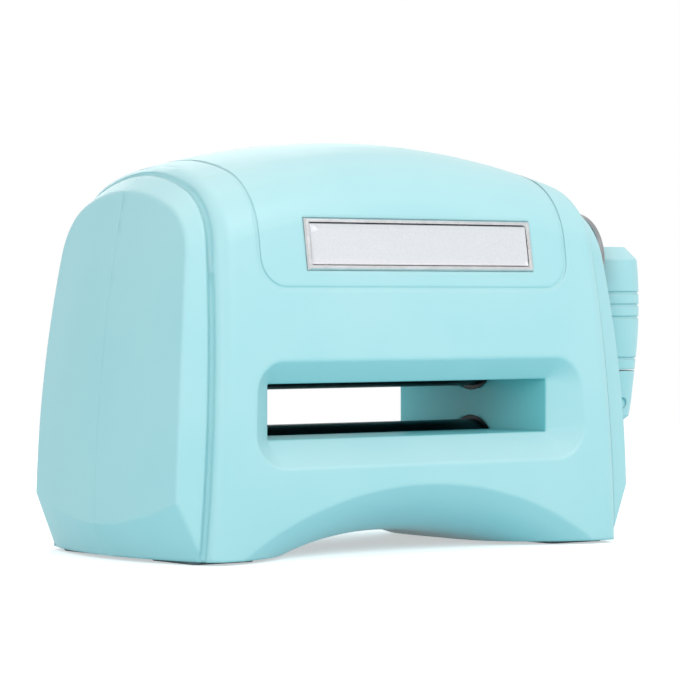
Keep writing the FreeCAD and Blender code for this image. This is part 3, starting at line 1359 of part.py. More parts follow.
def make_grip():
    """The turning sleeve: a bellied profile with two sets of three grooves."""
    top = size("foot_drop + grip_top_level")
    seam = size(f"{SEAM_LEVEL} + grip_seam_gap")
    shoulder_z = top - size("grip_top_bevel")
    x = size("grip_axis")
    neck, belly, head = size("grip_neck_radius"), size("grip_belly_radius"), size("grip_head_radius")
    belly_z = size("foot_drop + grip_belly_level")
    side = Part.Arc(V(neck, 0, seam), V(belly, 0, belly_z), V(head, 0, shoulder_z))
    edges = [Part.LineSegment(V(0, 0, seam), V(neck, 0, seam)), side,
             Part.LineSegment(V(head, 0, shoulder_z), V(size("grip_top_radius"), 0, top)),
             Part.LineSegment(V(size("grip_top_radius"), 0, top), V(0, 0, top)),
             Part.LineSegment(V(0, 0, top), V(0, 0, seam))]
    face = Part.Face(Part.Wire([edge.toShape() for edge in edges]))
    sleeve = face.revolve(V(0, 0, 0), Z_AXIS, 360)
    rims = [edge for edge in sleeve.Edges
            if edge.BoundBox.ZLength < 1e-6 and edge.BoundBox.ZMin > shoulder_z - 1]
    sleeve = sleeve.makeFillet(size("grip_groove_width"), rims)
    pitch, groove, depth = size("grip_groove_pitch"), size("grip_groove_width"), size("grip_groove_depth")
    high = size("foot_drop + grip_high_groove")
    low = size(SEAM_LEVEL)
    levels = [high - pitch, high, high + pitch, low + pitch]
    for level in levels:
        share = side.intersect(Part.Line(V(0, 0, level), V(1, 0, level)))
        radius = share[0].X
        ring = Part.makeCylinder(radius + 2, groove, V(0, 0, level - groove / 2))
        core = Part.makeCylinder(radius - depth, groove + 2, V(0, 0, level - groove / 2 - 1))
        sleeve = sleeve.cut(ring.cut(core))
    depth = top - size("grip_end_wall") - seam
    bore = Part.makeCylinder(size("spindle_radius + fit_gap"), depth + 1, V(0, 0, seam - 1))
    plain_piece("grip_sleeve", sleeve.cut(bore), FreeCAD.Placement(V(x, 0, 0), FreeCAD.Rotation()))


def make_grip_pins():
    spindle = DOC.addObject("Part::Cylinder", "grip_spindle")
    spindle.Label = "grip_spindle"
    spindle.setExpression("Radius", link("spindle_radius"))
    spindle_foot = f"{SEAM_LEVEL} - spindle_depth + fit_gap"
    spindle_top = "foot_drop + grip_top_level - grip_end_wall - grip_seam_gap"
    spindle.setExpression("Height", link(f"{spindle_top} - ({spindle_foot})"))
    move_to(spindle, x="grip_axis", z=spindle_foot)
    PARTS.append(spindle)
    pin = DOC.addObject("Part::Cylinder", "grip_pin")
    pin.Label = "grip_pin"
    pin.setExpression("Radius", link("grip_pin_radius"))
    pin.setExpression("Height", link("2 * (grip_foot_radius - fork_edge)"))
    pin.Placement.Rotation = FreeCAD.Rotation(X_AXIS, -90)
    move_to(pin, x="grip_axis", y="fork_edge - grip_foot_radius", z=PIN_LEVEL)
    PARTS.append(pin)


make_housing()
make_fixings()
make_badge()
make_frames()
make_gear_plate()
make_ties_and_screws()
make_bushes()
make_rollers()
make_clips()
make_crank_shaft()
make_idler_axle()
make_gears()
make_crank_arm()
make_hub_pieces()
make_fork()
make_grip()
make_grip_pins()

DOC.recompute()
for item in DOC.Objects:
    assert not {"Invalid", "Error"} & set(item.State), f"{item.Label} is {item.State}"
for piece in PARTS:
    shape = piece.Shape
    assert not shape.isNull() and shape.isValid() and shape.Solids, f"{piece.Label} has no sound solid"

os.makedirs("parts", exist_ok=True)
for piece in PARTS:
    piece.Shape.exportStep(f"parts/{piece.Label}.step")
print(f"{len(PARTS)} nodes, {sum(len(piece.Shape.Solids) for piece in PARTS)} solids")
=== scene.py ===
"""Looks for the hand cranked die cutting and embossing machine.

Metres, in the frame of the CAD model: X along the rollers with the crank on +X, -Y the
front with the badge, Z up from the table.
"""

import json
import math

import bmesh
import bpy
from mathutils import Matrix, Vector


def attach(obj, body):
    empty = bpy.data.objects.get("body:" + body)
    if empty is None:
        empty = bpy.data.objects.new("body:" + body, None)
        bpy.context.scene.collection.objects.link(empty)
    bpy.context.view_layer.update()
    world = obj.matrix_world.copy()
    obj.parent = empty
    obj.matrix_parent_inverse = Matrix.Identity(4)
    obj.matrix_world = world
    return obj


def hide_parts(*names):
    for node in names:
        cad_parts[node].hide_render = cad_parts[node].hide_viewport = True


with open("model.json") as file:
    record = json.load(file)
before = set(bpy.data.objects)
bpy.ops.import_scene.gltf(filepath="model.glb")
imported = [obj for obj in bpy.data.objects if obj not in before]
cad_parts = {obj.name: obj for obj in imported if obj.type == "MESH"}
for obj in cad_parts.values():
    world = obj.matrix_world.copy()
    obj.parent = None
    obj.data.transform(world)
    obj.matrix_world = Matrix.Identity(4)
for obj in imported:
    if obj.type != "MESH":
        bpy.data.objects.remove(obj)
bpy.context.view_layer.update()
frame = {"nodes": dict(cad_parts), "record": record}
NODES = frame["nodes"]

# Camera, fitted to the photograph
PICTURE_WIDTH = 680             # pixels, also the height
CAMERA_PLACE = (-0.8897, -1.1622, 0.1105)
CAMERA_TURN = 37.42             # degrees from +Y towards +X, level
FOCAL_PIXELS = 3285.6
AXIS_PIXEL = (337.1, 297.4)     # where the optical axis meets the picture

# Studio light
AMBIENT = 0.66
AMBIENT_TINT = (250, 253, 255)
AIM = Vector((0.0, 0.0, 0.08))
# name, place, width and height of the softbox, watts
LAMPS = (
    ("key_softbox", (0.5, -1.25, 1.0), 0.8, 8.0),
    ("fill_softbox", (-1.35, -1.1, 0.4), 0.9, 7.0),
    ("top_softbox", (0.0, 0.2, 1.5), 1.2, 3.2),
    ("back_softbox", (0.7, 1.5, 0.8), 0.9, 3.5),
)
FLOOR_REACH = 6.0               # metres to each side
FLOOR_LIFT = 0.5                # added to what the floor shows, so that it clips to white
FLOOR_FADE = (0.7, 1.6)         # metres from the object, where the floor turns plain white

# Badge lens
LENS_GAP = 0.00006              # metres clear of the plate under it
LENS_SQUARE = (60.0, 10.0)      # powers that say how squarely it fills the rim, across and up
LENS_CROWN = 0.22               # share of its thickness that it falls towards both long edges
LENS_GRID = (120, 40)           # faces across and up

# The channel through the housing, inside which the housing gets its painted shade: its middle
# and its half sizes, in metres
CHANNEL = ((0.0, 0.0, 0.0624), (0.0772, 0.052, 0.012))

# The low step that each cap leaves on the roof, in metres
STEP_PLACE = (0.0945, 0.0962)   # how far out it stands
STEP_FLOOR = 0.156              # and above what height
STEP_REACH = 0.1036             # the cap's root groove ends it
STEP_SQUARE = 0.99              # how squarely its face looks to the middle, at least
ROOF_FLAT = (0.8, 0.4)          # the roof's normal: up at least, and sideways at most
ROOF_ALIKE = 0.88               # cosine between normals that run on into each other
PLACES_PER_METRE = 1e5          # points closer than 0.01 mm are one

# The groove round the top panel, in metres
PANEL = (0.0845, 0.1144, 0.013)  # half width, lower edge and corner radius of its outline
GROOVE_HALF_WIDTH = 0.00078
GROOVE_RAISE = 0.00013          # how much shallower it looks than it is moulded
GROOVE_OUTWARD = 0.3            # a face of its floor looks outward by this much at least
GROOVE_WALL = 0.7               # and its sides look across it by this much at least

# Radii of the edges in shading, in metres
HOUSING_EDGE = 0.0023
GRIP_EDGE = 0.0012
PIECE_EDGE = 0.0005
RUBBER_EDGE = 0.0004
FINE_EDGE = 0.0003              # of metal and of the bearings

# The seam between the two halves of the housing, in metres
SEAM_MARGIN = 0.0016            # this far beside it the edges are left as they are
SEAM_BAND = 0.0056              # and this far the ends are shaded flat
END_FACE = 0.85                 # an end's face looks sideways by this much at least
SEAM_HALF_WIDTH = 0.0005        # of its hairline
SEAM_DEPTH = 0.00007

STEEL_SPREAD = 0.07             # how far a steel's roughness strays to either side

# Colours as they are seen, 0 to 255
AQUA = (187, 227, 230)
AQUA_SHADE = (180, 224, 228)
AQUA_PAINTED_SHADE = (140, 218, 222)     # painted shade inside the channel, a darker and deeper colour
STEEL_DARK = (38, 58, 62)
STEEL_GEAR = (150, 150, 146)
STEEL_BRIGHT = (186, 188, 190)
STEEL_HUB = (158, 162, 164)
STEEL_FRAME = (172, 174, 176)
BLACK_PLASTIC = (18, 29, 33)
TRIM = (214, 216, 218)
BADGE_SILVER = (236, 226, 226)
BADGE_SHADE = (222, 212, 212)
RUBBER = (142, 146, 148)
FLOOR = (236, 236, 236)
FLOOR_BOUNCE = (158, 220, 228)
LAMP_TINT = (255, 251, 250)
LENS_TINT = (250, 252, 255)
WHITE = (255, 255, 255)


def linear(colour):
    """A seen colour as the linear values that a shader takes."""
    values = []
    for channel in colour:
        share = channel / 255
        if share <= 0.04045:
            values.append(share / 12.92)
        else:
            values.append(((share + 0.055) / 1.055) ** 2.4)
    return (*values, 1.0)


def darker(colour, share):
    return tuple(channel * share for channel in colour)


# Material helpers

class Nodes:
    """Short calls to add and join the nodes of one material."""

    def __init__(self, name):
        self.material = bpy.data.materials.new(name)
        self.material.use_nodes = True
        self.tree = self.material.node_tree
        self.tree.nodes.clear()
        self.out = self.add("ShaderNodeOutputMaterial")
        self.place = self.add("ShaderNodeTexCoord").outputs["Object"]

    def add(self, kind, **values):
        node = self.tree.nodes.new(kind)
        for key, value in values.items():
            setattr(node, key, value)
        return node

    def join(self, source, target):
        self.tree.links.new(source, target)

    def stretched(self, scale):
        """Object coordinates, scaled differently along each axis."""
        mapping = self.add("ShaderNodeMapping")
        mapping.inputs["Scale"].default_value = scale
        self.join(self.place, mapping.inputs["Vector"])
        return mapping.outputs["Vector"]

    def noise(self, scale, detail=2.0, place=None):
        texture = self.add("ShaderNodeTexNoise")
        texture.inputs["Scale"].default_value = scale
        texture.inputs["Detail"].default_value = detail
        self.join(place or self.place, texture.inputs["Vector"])
        return texture.outputs["Fac"]

    def ramp(self, source, stops):
        """A colour ramp from pairs of position and linear colour."""
        node = self.add("ShaderNodeValToRGB")
        elements = node.color_ramp.elements
        while len(elements) < len(stops):
            elements.new(0.5)
        for element, (position, colour) in zip(elements, stops):
            element.position = position
            element.color = colour
        self.join(source, node.inputs["Fac"])
        return node.outputs["Color"]

    def clouded(self, source, shade, colour):
        """The shade where the source is low, and the colour where it is high."""
        return self.ramp(source, [(0.3, linear(shade)), (0.7, linear(colour))])

    def spread(self, source, low, high):
        """A grey value moved from 0..1 to low..high."""
        node = self.add("ShaderNodeMapRange")
        node.inputs["To Min"].default_value = low
        node.inputs["To Max"].default_value = high
        self.join(source, node.inputs["Value"])
        return node.outputs["Result"]

    def bump(self, source, distance, strength=1.0, under=None):
        node = self.add("ShaderNodeBump")
        node.inputs["Distance"].default_value = distance
        node.inputs["Strength"].default_value = strength
        self.join(source, node.inputs["Height"])
        if under:
            self.join(under, node.inputs["Normal"])
        return node.outputs["Normal"]

    def soft_edges(self, radius):
        """Normals rounded over at the edges, as a moulded or tumbled piece has them."""
        node = self.add("ShaderNodeBevel", samples=4)
        node.inputs["Radius"].default_value = radius
        return node.outputs["Normal"]

    def surface(self, **values):
        """A Principled surface. Values are constants or the outputs that feed its sockets."""
        shader = self.add("ShaderNodeBsdfPrincipled")
        for key, value in values.items():
            socket = shader.inputs[key.replace("_", " ")]
            if isinstance(value, bpy.types.NodeSocket):
                self.join(value, socket)
            else:
                socket.default_value = value
        self.join(shader.outputs["BSDF"], self.out.inputs["Surface"])
        return self.material


def aqua_plastic(name, edge, painted_shade=None):
    """Satin ABS: an even colour with the faintest cloud, and a fine spark-eroded grain."""
    n = Nodes(name)
    cloud = n.noise(scale=18.0, detail=3.0)
    tint = n.clouded(cloud, AQUA_SHADE, AQUA)
    # painted_shade, where given, paints shade into the colour
    if painted_shade:
        tint = painted_shade(n, tint)
    grain = n.noise(scale=2600.0)
    rough = n.spread(n.noise(scale=90.0, detail=4.0), low=0.36, high=0.46)
    normal = n.bump(grain, distance=0.00002, strength=0.35, under=edge(n))
    return n.surface(Base_Color=tint, Roughness=rough, Normal=normal, IOR=1.48)


def channel_painted_shade(n, tint):
    """Painted shade: a darker, deeper colour inside the channel, and the plain one elsewhere.
    """
    middle, half = CHANNEL
    place = n.place
    for operation, amount in (("SUBTRACT", middle), ("ABSOLUTE", None), ("DIVIDE", half)):
        step = n.add("ShaderNodeVectorMath", operation=operation)
        n.join(place, step.inputs[0])
        if amount:
            step.inputs[1].default_value = amount
        place = step.outputs["Vector"]
    parts = n.add("ShaderNodeSeparateXYZ")
    n.join(place, parts.inputs[0])
    most = parts.outputs["X"]
    for axis in ("Y", "Z"):
        larger = n.add("ShaderNodeMath", operation="MAXIMUM")
        n.join(most, larger.inputs[0])
        n.join(parts.outputs[axis], larger.inputs[1])
        most = larger.outputs[0]
    inside = n.add("ShaderNodeMath", operation="LESS_THAN")
    inside.inputs[1].default_value = 1.0
    n.join(most, inside.inputs[0])
    choice = n.add("ShaderNodeMix", data_type="RGBA")
    n.join(inside.outputs[0], choice.inputs["Factor"])
    n.join(tint, choice.inputs["A"])
    choice.inputs["B"].default_value = linear(AQUA_PAINTED_SHADE)
    return choice.outputs["Result"]


def housing_plastic():
    """The same ABS on the housing, with painted shade inside the channel. Cycles' bump
    correction darkens the seam, so it is off.
    """
    material = aqua_plastic("aqua_housing", housing_edges, channel_painted_shade)
    material.cycles.use_bump_map_correction = False
    return material


def housing_edges(n):
    """Wide soft edges on the housing, but none along the seam between its halves."""
    parts = n.add("ShaderNodeSeparateXYZ")
    n.join(n.place, parts.inputs[0])
    aside = n.add("ShaderNodeMath", operation="ABSOLUTE")
    n.join(parts.outputs["Y"], aside.inputs[0])
    width = n.add("ShaderNodeMapRange")
    width.inputs["From Min"].default_value = SEAM_MARGIN
    width.inputs["From Max"].default_value = 2 * SEAM_MARGIN
    width.inputs["To Max"].default_value = HOUSING_EDGE
    n.join(aside.outputs[0], width.inputs["Value"])
    node = n.add("ShaderNodeBevel", samples=8)
    n.join(width.outputs["Result"], node.inputs["Radius"])
    return level_seam(n, node.outputs["Normal"], aside.outputs[0])


def level_seam(n, soft, aside):
    """Plain face normals beside the seam on both ends, where the smoothed ones lean over."""
    face = n.add("ShaderNodeNewGeometry").outputs["True Normal"]
    parts = n.add("ShaderNodeSeparateXYZ")
    n.join(face, parts.inputs[0])
    sideways = n.add("ShaderNodeMath", operation="ABSOLUTE")
    n.join(parts.outputs["X"], sideways.inputs[0])
    on_end = n.add("ShaderNodeMath", operation="GREATER_THAN")
    on_end.inputs[1].default_value = END_FACE
    n.join(sideways.outputs[0], on_end.inputs[0])
    near = n.add("ShaderNodeMath", operation="LESS_THAN")
    near.inputs[1].default_value = SEAM_BAND
    n.join(aside, near.inputs[0])
    level = n.add("ShaderNodeMath", operation="MULTIPLY")
    n.join(on_end.outputs[0], level.inputs[0])
    n.join(near.outputs[0], level.inputs[1])
    choice = n.add("ShaderNodeMix", data_type="VECTOR")
    n.join(level.outputs[0], choice.inputs["Factor"])
    n.join(soft, choice.inputs["A"])
    n.join(face, choice.inputs["B"])
    hairline = n.add("ShaderNodeMapRange", interpolation_type="SMOOTHSTEP")
    hairline.inputs["From Max"].default_value = SEAM_HALF_WIDTH
    n.join(aside, hairline.inputs["Value"])
    return n.bump(hairline.outputs["Result"], SEAM_DEPTH, under=choice.outputs["Result"])


def piece_edges(n):
    return n.soft_edges(PIECE_EDGE)


def grip_edges(n):
    return n.soft_edges(GRIP_EDGE)


def ground_steel(name, colour, roughness, marking=(30.0, 900.0, 900.0)):
    """Steel with fine marks, as many to the metre along X, Y and Z as marking says."""
    n = Nodes(name)
    marks = n.noise(scale=1.0, detail=3.0, place=n.stretched(marking))
    cloud = n.noise(scale=60.0, detail=3.0)
    tint = n.clouded(cloud, darker(colour, 0.86), colour)
    rough = n.spread(marks, low=roughness - STEEL_SPREAD, high=roughness + STEEL_SPREAD)
    normal = n.bump(marks, distance=0.00002, strength=0.4, under=n.soft_edges(FINE_EDGE))
    return n.surface(Base_Color=tint, Metallic=1.0, Roughness=rough, Normal=normal)


def bearing_plastic():
    n = Nodes("black_plastic")
    cloud = n.noise(scale=120.0, detail=3.0)
    tint = n.clouded(cloud, darker(BLACK_PLASTIC, 0.8), BLACK_PLASTIC)
    rough = n.spread(cloud, low=0.38, high=0.5)
    grain = n.noise(scale=1800.0)
    normal = n.bump(grain, distance=0.00002, strength=0.4, under=n.soft_edges(FINE_EDGE))
    return n.surface(Base_Color=tint, Roughness=rough, Normal=normal)


def plated_trim():
    n = Nodes("bright_trim")
    haze = n.noise(scale=160.0, detail=4.0)
    tint = n.clouded(haze, darker(TRIM, 0.94), TRIM)
    rough = n.spread(haze, low=0.12, high=0.2)
    ripple = n.noise(scale=700.0)
    normal = n.bump(ripple, distance=0.00001, strength=0.25, under=n.soft_edges(FINE_EDGE))
    return n.surface(Base_Color=tint, Metallic=1.0, Roughness=rough, Normal=normal)


def badge_paint():
    """Silver paint behind the lens, with a fine metallic sparkle. It carries no print."""
    n = Nodes("badge_silver")
    flakes = n.add("ShaderNodeTexVoronoi")
    flakes.inputs["Scale"].default_value = 3500.0
    n.join(n.place, flakes.inputs["Vector"])
    stops = [(0.2, linear(BADGE_SHADE)), (0.8, linear(BADGE_SILVER))]
    tint = n.ramp(flakes.outputs["Color"], stops)
    return n.surface(Base_Color=tint, Roughness=0.45, Metallic=0.1)


def clear_lens():
    """A clear cast lens. Light and shadow rays pass it, so that the plate under it is lit."""
    n = Nodes("clear_lens")
    swell = n.bump(n.noise(scale=45.0, detail=1.0), distance=0.0002, strength=0.15)
    n.surface(Base_Color=linear(LENS_TINT), Roughness=0.04, IOR=1.45,
              Transmission_Weight=1.0, Normal=swell)
    glass = n.out.inputs["Surface"].links[0].from_socket
    path = n.add("ShaderNodeLightPath")
    passing = n.add("ShaderNodeMath", operation="MAXIMUM")
    n.join(path.outputs["Is Shadow Ray"], passing.inputs[0])
    n.join(path.outputs["Is Diffuse Ray"], passing.inputs[1])
    choice = n.add("ShaderNodeMixShader")
    n.join(passing.outputs[0], choice.inputs["Fac"])
    n.join(glass, choice.inputs[1])
    n.join(n.add("ShaderNodeBsdfTransparent").outputs[0], choice.inputs[2])
    n.join(choice.outputs[0], n.out.inputs["Surface"])
    return n.material


def foot_rubber():
    n = Nodes("foot_rubber")
    cloud = n.noise(scale=300.0, detail=4.0)
    tint = n.clouded(cloud, darker(RUBBER, 0.88), RUBBER)
    rough = n.spread(cloud, low=0.65, high=0.8)
    grain = n.noise(scale=1200.0)
    normal = n.bump(grain, distance=0.00004, strength=0.5, under=n.soft_edges(RUBBER_EDGE))
    return n.surface(Base_Color=tint, Roughness=rough, Normal=normal)


MATERIALS = {
    "aqua_plastic": aqua_plastic("aqua_plastic", piece_edges),
    "bright_trim": plated_trim(),
    "badge_silver": badge_paint(),
    "clear_lens": clear_lens(),
    "foot_rubber": foot_rubber(),
    "black_plastic": bearing_plastic(),
    "dark_steel": ground_steel("dark_steel", STEEL_DARK, 0.38),
    "gear_steel": ground_steel("gear_steel", STEEL_GEAR, 0.34, (900.0, 120.0, 120.0)),
    "frame_steel": ground_steel("frame_steel", STEEL_FRAME, 0.36, (900.0, 900.0, 40.0)),
    "bright_steel": ground_steel("bright_steel", STEEL_BRIGHT, 0.24),
}


def put_in_scene(name, data):
    thing = bpy.data.objects.new(name, data)
    bpy.context.collection.objects.link(thing)
    return thing


def dress_nodes():
    """Give every CAD node the material of its slot in the record, or one of its own."""
    housing = housing_plastic()
    grip = aqua_plastic("aqua_grip", grip_edges)
    own = {
        "front_shell": housing,
        "rear_shell": housing,
        "grip_sleeve": grip,
        "grip_fork": grip,
        "grip_pin": MATERIALS["aqua_plastic"],
        "hub_disc": ground_steel("hub_steel", STEEL_HUB, 0.3, (900.0, 60.0, 60.0)),
    }
    for entry in frame["record"]["subparts"]:
        mesh = NODES[entry["node"]].data
        mesh.materials.clear()
        mesh.materials.append(own.get(entry["node"]) or MATERIALS[entry["material_slot"]])


def make_lens():
    """The clear cast lens: a shallow pillow that meets the rim in a tight round."""
    solid = NODES["badge_lens"].data
    out = max(solid.polygons, key=lambda face: face.area).normal.copy()
    if out.y > 0:
        out.negate()
    across = Vector((1, 0, 0))
    up = out.cross(across)
    points = [vertex.co for vertex in solid.vertices]

    def reach(axis):
        values = [point.dot(axis) for point in points]
        return min(values), max(values)

    (left, right), (low, high), (back, front) = reach(across), reach(up), reach(out)
    back += LENS_GAP
    columns, rows = LENS_GRID
    mesh = bpy.data.meshes.new("lens")
    form = bmesh.new()
    grid = []
    for j in range(rows + 1):
        t = -math.cos(math.pi * j / rows)
        line = []
        for i in range(columns + 1):
            s = -math.cos(math.pi * i / columns)
            fill = 1 - abs(s) ** LENS_SQUARE[0], 1 - abs(t) ** LENS_SQUARE[1]
            edge = math.sqrt(fill[0] * fill[1])
            crown = 1 - LENS_CROWN * t * t
            place = across * (left + (right - left) * (s + 1) / 2)
            place = place + up * (low + (high - low) * (t + 1) / 2)
            place = place + out * (back + (front - back) * edge * crown)
            line.append(form.verts.new(place))
        grid.append(line)
    for line, above in zip(grid, grid[1:]):
        for i in range(columns):
            form.faces.new((line[i], line[i + 1], above[i + 1], above[i]))
    right_side = [line[-1] for line in grid[1:]]
    left_side = [line[0] for line in grid[-2:0:-1]]
    rim = grid[0] + right_side + grid[-1][-2::-1] + left_side
    form.faces.new(list(reversed(rim)))
    form.to_mesh(mesh)
    form.free()
    for face in mesh.polygons:
        face.use_smooth = face.index < columns * rows
    mesh.materials.append(MATERIALS["clear_lens"])
    lens = put_in_scene("lens", mesh)
    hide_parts("badge_lens")
    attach(lens, "chassis")


def place_key(point):
    return tuple(round(value * PLACES_PER_METRE) for value in point)


def between(line, y):
    """The point and normal at y on a line of (y, point, normal), ordered by y."""
    y = min(max(y, line[0][0]), line[-1][0])
    for (y0, p0, n0), (y1, p1, n1) in zip(line, line[1:]):
        if y <= y1:
            share = (y - y0) / (y1 - y0) if y1 > y0 else 0.0
            return p0.lerp(p1, share), n0.lerp(n1, share).normalized()
    return line[-1][1], line[-1][2]


def find_step(mesh, side, points, normals):
    """The faces of the step on one end, and the roof's normals at the points round it."""
    step, roof = set(), {}
    for face in mesh.polygons:
        x, z = face.center.x * side, face.center.z
        if x < 0 or x > STEP_REACH or z < STEP_FLOOR:
            continue
        if face.normal.x * side < -STEP_SQUARE and STEP_PLACE[0] < x < STEP_PLACE[1]:
            step.add(face.index)
        elif face.normal.z > ROOF_FLAT[0] and abs(face.normal.x) < ROOF_FLAT[1]:
            for loop in face.loop_indices:
                roof[place_key(points[mesh.loops[loop].vertex_index])] = normals[loop]
    return step, roof


def find_wedge(mesh, side, points, step, high):
    """The faces that run out from the step's upper edge, and the vertices on that edge."""
    near = [face for face in mesh.polygons if face.index not in step
            and all(STEP_PLACE[0] < points[vertex].x * side < STEP_REACH
                    and points[vertex].z > STEP_FLOOR for vertex in face.vertices)]
    edge = {vertex for face in near for vertex in face.vertices
            if place_key(points[vertex]) in high}
    wedge, reached, grown = set(), set(edge), True
    while grown:
        grown = False
        for face in near:
            if face.index not in wedge and reached.intersection(face.vertices):
                wedge.add(face.index)
                reached.update(face.vertices)
                grown = True
    return wedge, edge


def level_step(mesh, side, points, normals):
    """Lower the step on one end to the roof beside it. Returns its faces, now flat."""
    step, roof = find_step(mesh, side, points, normals)
    corners = {vertex for index in step for vertex in mesh.polygons[index].vertices}
    keys = {vertex: place_key(points[vertex]) for vertex in corners}
    low = {key: points[vertex].copy() for vertex, key in keys.items() if key in roof}
    high = {key for key in keys.values() if key not in roof}
    if len(low) < 2 or not high:
        return set()
    line = sorted(((point.y, point, roof[key]) for key, point in low.items()),
                  key=lambda entry: entry[0])
    wedge, edge = find_wedge(mesh, side, points, step, high)
    beside = {}
    for face in mesh.polygons:
        if face.index not in wedge and face.index not in step:
            for loop in face.loop_indices:
                key = place_key(points[mesh.loops[loop].vertex_index])
                beside.setdefault(key, []).append(normals[loop])
    for index in wedge:
        for loop in mesh.polygons[index].loop_indices:
            vertex = mesh.loops[loop].vertex_index
            if vertex in edge:
                normals[loop] = between(line, points[vertex].y)[1]
                continue
            alike = [normal for normal in beside.get(place_key(points[vertex]), ())
                     if normal.dot(normals[loop]) > ROOF_ALIKE]
            if alike:
                normals[loop] = max(alike, key=lambda normal: normal.z)
    for vertex in edge:
        points[vertex] = between(line, points[vertex].y)[0]
    return step


def panel_way(point):
    """How far a point lies outside the panel, seen from the front, and the way out."""
    half, low, corner = PANEL
    across, down = abs(point.x) - half + corner, low + corner - point.z
    side = math.copysign(1.0, point.x)
    if across > 0 and down > 0:
        reach = math.hypot(across, down)
        return reach - corner, Vector((side * across / reach, 0.0, -down / reach))
    if across > down:
        return across - corner, Vector((side, 0.0, 0.0))
    return down - corner, Vector((0.0, 0.0, -1.0))


def raise_groove(mesh, points, normals):
    """Lift the floor of the groove round the panel, so that it looks softer."""
    ways = [panel_way(point) for point in points]
    lift = {}
    for face in mesh.polygons:
        if any(abs(ways[vertex][0]) > GROOVE_HALF_WIDTH for vertex in face.vertices):
            continue
        normal = face.normal
        outward = max(normal.z, normal.y * math.copysign(1.0, face.center.y))
        across = abs(normal.dot(ways[face.vertices[0]][1]))
        if outward > GROOVE_OUTWARD and across < GROOVE_WALL:
            for loop in face.loop_indices:
                key = place_key(points[mesh.loops[loop].vertex_index])
                lift[key] = normals[loop] * GROOVE_RAISE
    for point in points:
        point += lift.get(place_key(point), Vector())


def make_shell(name):
    """A skin in place of a shell, without the steps on its roof and with a shallower groove."""
    mesh = NODES[name].data
    points = [vertex.co.copy() for vertex in mesh.vertices]
    normals = [corner.vector.copy() for corner in mesh.corner_normals]
    dropped = set()
    for side in (-1, 1):
        dropped |= level_step(mesh, side, points, normals)
    raise_groove(mesh, points, normals)
    kept = [face for face in mesh.polygons if face.index not in dropped]
    used = sorted({vertex for face in kept for vertex in face.vertices})
    order = {vertex: index for index, vertex in enumerate(used)}
    faces = [[order[vertex] for vertex in face.vertices] for face in kept]
    shading = [normals[loop] for face in kept for loop in face.loop_indices]
    skin = bpy.data.meshes.new(name + "_skin")
    skin.from_pydata([points[vertex] for vertex in used], [], faces)
    skin.shade_smooth()
    skin.normals_split_custom_set(shading)
    skin.materials.append(mesh.materials[0])
    shell = put_in_scene(name + "_skin", skin)
    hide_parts(name)
    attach(shell, "chassis")


# Stage

def join_seen(tree):
    """1 for rays that show a surface: direct, in a gloss or through glass."""
    path = tree.nodes.new("ShaderNodeLightPath")
    seen = path.outputs["Is Camera Ray"]
    for other in ("Is Glossy Ray", "Is Transmission Ray"):
        either = tree.nodes.new("ShaderNodeMath")
        either.operation = "MAXIMUM"
        tree.links.new(seen, either.inputs[0])
        tree.links.new(path.outputs[other], either.inputs[1])
        seen = either.outputs[0]
    return seen


def floor_white():
    """A floor that looks white, less the object's shadow, and fades to plain white far out."""
    n = Nodes("floor_white")
    grain = n.noise(scale=40.0)
    plain = n.add("ShaderNodeBsdfDiffuse")
    n.join(n.clouded(grain, darker(FLOOR, 0.99), FLOOR), plain.inputs["Color"])
    bounce = n.add("ShaderNodeBsdfDiffuse")
    bounce.inputs["Color"].default_value = linear(FLOOR_BOUNCE)
    glow = n.add("ShaderNodeEmission")
    glow.inputs["Strength"].default_value = FLOOR_LIFT
    lit = n.add("ShaderNodeAddShader")
    n.join(plain.outputs[0], lit.inputs[0])
    n.join(glow.outputs[0], lit.inputs[1])
    white = n.add("ShaderNodeEmission")
    distance = n.add("ShaderNodeVectorMath", operation="LENGTH")
    n.join(n.place, distance.inputs[0])
    fade = n.add("ShaderNodeMapRange", interpolation_type="SMOOTHSTEP")
    fade.inputs["From Min"].default_value = FLOOR_FADE[0]
    fade.inputs["From Max"].default_value = FLOOR_FADE[1]
    n.join(distance.outputs["Value"], fade.inputs["Value"])
    shown = n.add("ShaderNodeMixShader")
    n.join(fade.outputs["Result"], shown.inputs["Fac"])
    n.join(lit.outputs[0], shown.inputs[1])
    n.join(white.outputs[0], shown.inputs[2])
    choice = n.add("ShaderNodeMixShader")
    n.join(join_seen(n.tree), choice.inputs["Fac"])
    n.join(bounce.outputs[0], choice.inputs[1])
    n.join(shown.outputs[0], choice.inputs[2])
    n.join(choice.outputs[0], n.out.inputs["Surface"])
    return n.material


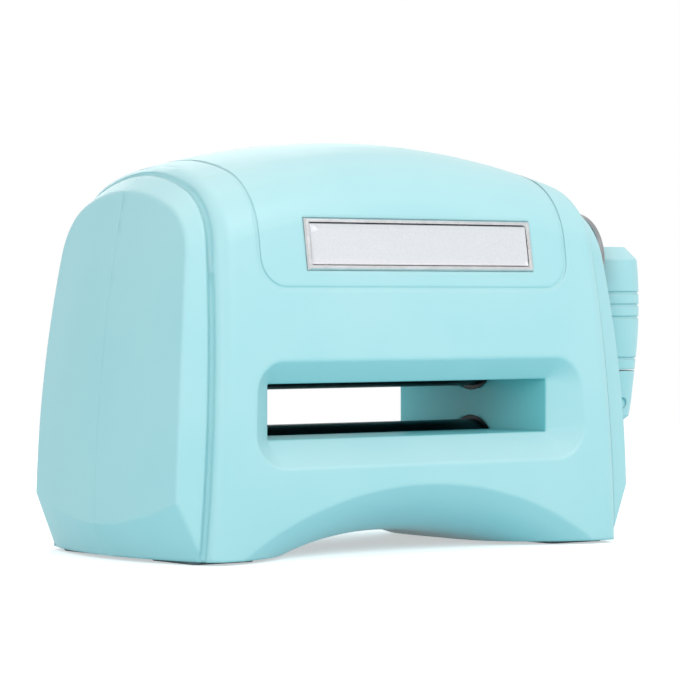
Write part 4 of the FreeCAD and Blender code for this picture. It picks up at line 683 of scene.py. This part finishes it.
def make_floor():
    corners = [(x * FLOOR_REACH, y * FLOOR_REACH, 0)
               for x, y in ((-1, -1), (1, -1), (1, 1), (-1, 1))]
    mesh = bpy.data.meshes.new("floor")
    mesh.from_pydata(corners, [], [(0, 1, 2, 3)])
    mesh.materials.append(floor_white())
    put_in_scene("floor", mesh)


def make_world():
    world = bpy.data.worlds.new("studio")
    world.use_nodes = True
    tree = world.node_tree
    tree.nodes.clear()
    ambient = tree.nodes.new("ShaderNodeBackground")
    ambient.inputs["Color"].default_value = linear(AMBIENT_TINT)
    ambient.inputs["Strength"].default_value = AMBIENT
    white = tree.nodes.new("ShaderNodeBackground")
    white.inputs["Color"].default_value = linear(WHITE)
    choice = tree.nodes.new("ShaderNodeMixShader")
    out = tree.nodes.new("ShaderNodeOutputWorld")
    tree.links.new(join_seen(tree), choice.inputs["Fac"])
    tree.links.new(ambient.outputs[0], choice.inputs[1])
    tree.links.new(white.outputs[0], choice.inputs[2])
    tree.links.new(choice.outputs[0], out.inputs["Surface"])
    bpy.context.scene.world = world


def make_lamps():
    for name, place, width, power in LAMPS:
        data = bpy.data.lights.new(name, "AREA")
        data.size = width
        data.energy = power
        data.color = linear(LAMP_TINT)[:3]
        lamp = put_in_scene(name, data)
        lamp.location = place
        lamp.rotation_euler = (AIM - Vector(place)).to_track_quat("-Z", "Y").to_euler()


def make_camera():
    data = bpy.data.cameras.new("camera")
    data.sensor_width = 36.0
    data.lens = FOCAL_PIXELS * data.sensor_width / PICTURE_WIDTH
    data.shift_x = (PICTURE_WIDTH / 2 - AXIS_PIXEL[0]) / PICTURE_WIDTH
    data.shift_y = (AXIS_PIXEL[1] - PICTURE_WIDTH / 2) / PICTURE_WIDTH
    data.clip_start = 0.05
    data.clip_end = 50.0
    camera = put_in_scene("camera", data)
    camera.location = CAMERA_PLACE
    camera.rotation_euler = (math.radians(90), 0.0, -math.radians(CAMERA_TURN))
    bpy.context.scene.camera = camera


dress_nodes()
make_lens()
make_shell("front_shell")
make_shell("rear_shell")
make_floor()
make_world()
make_lamps()
make_camera()
bpy.context.scene.view_settings.view_transform = "Standard"
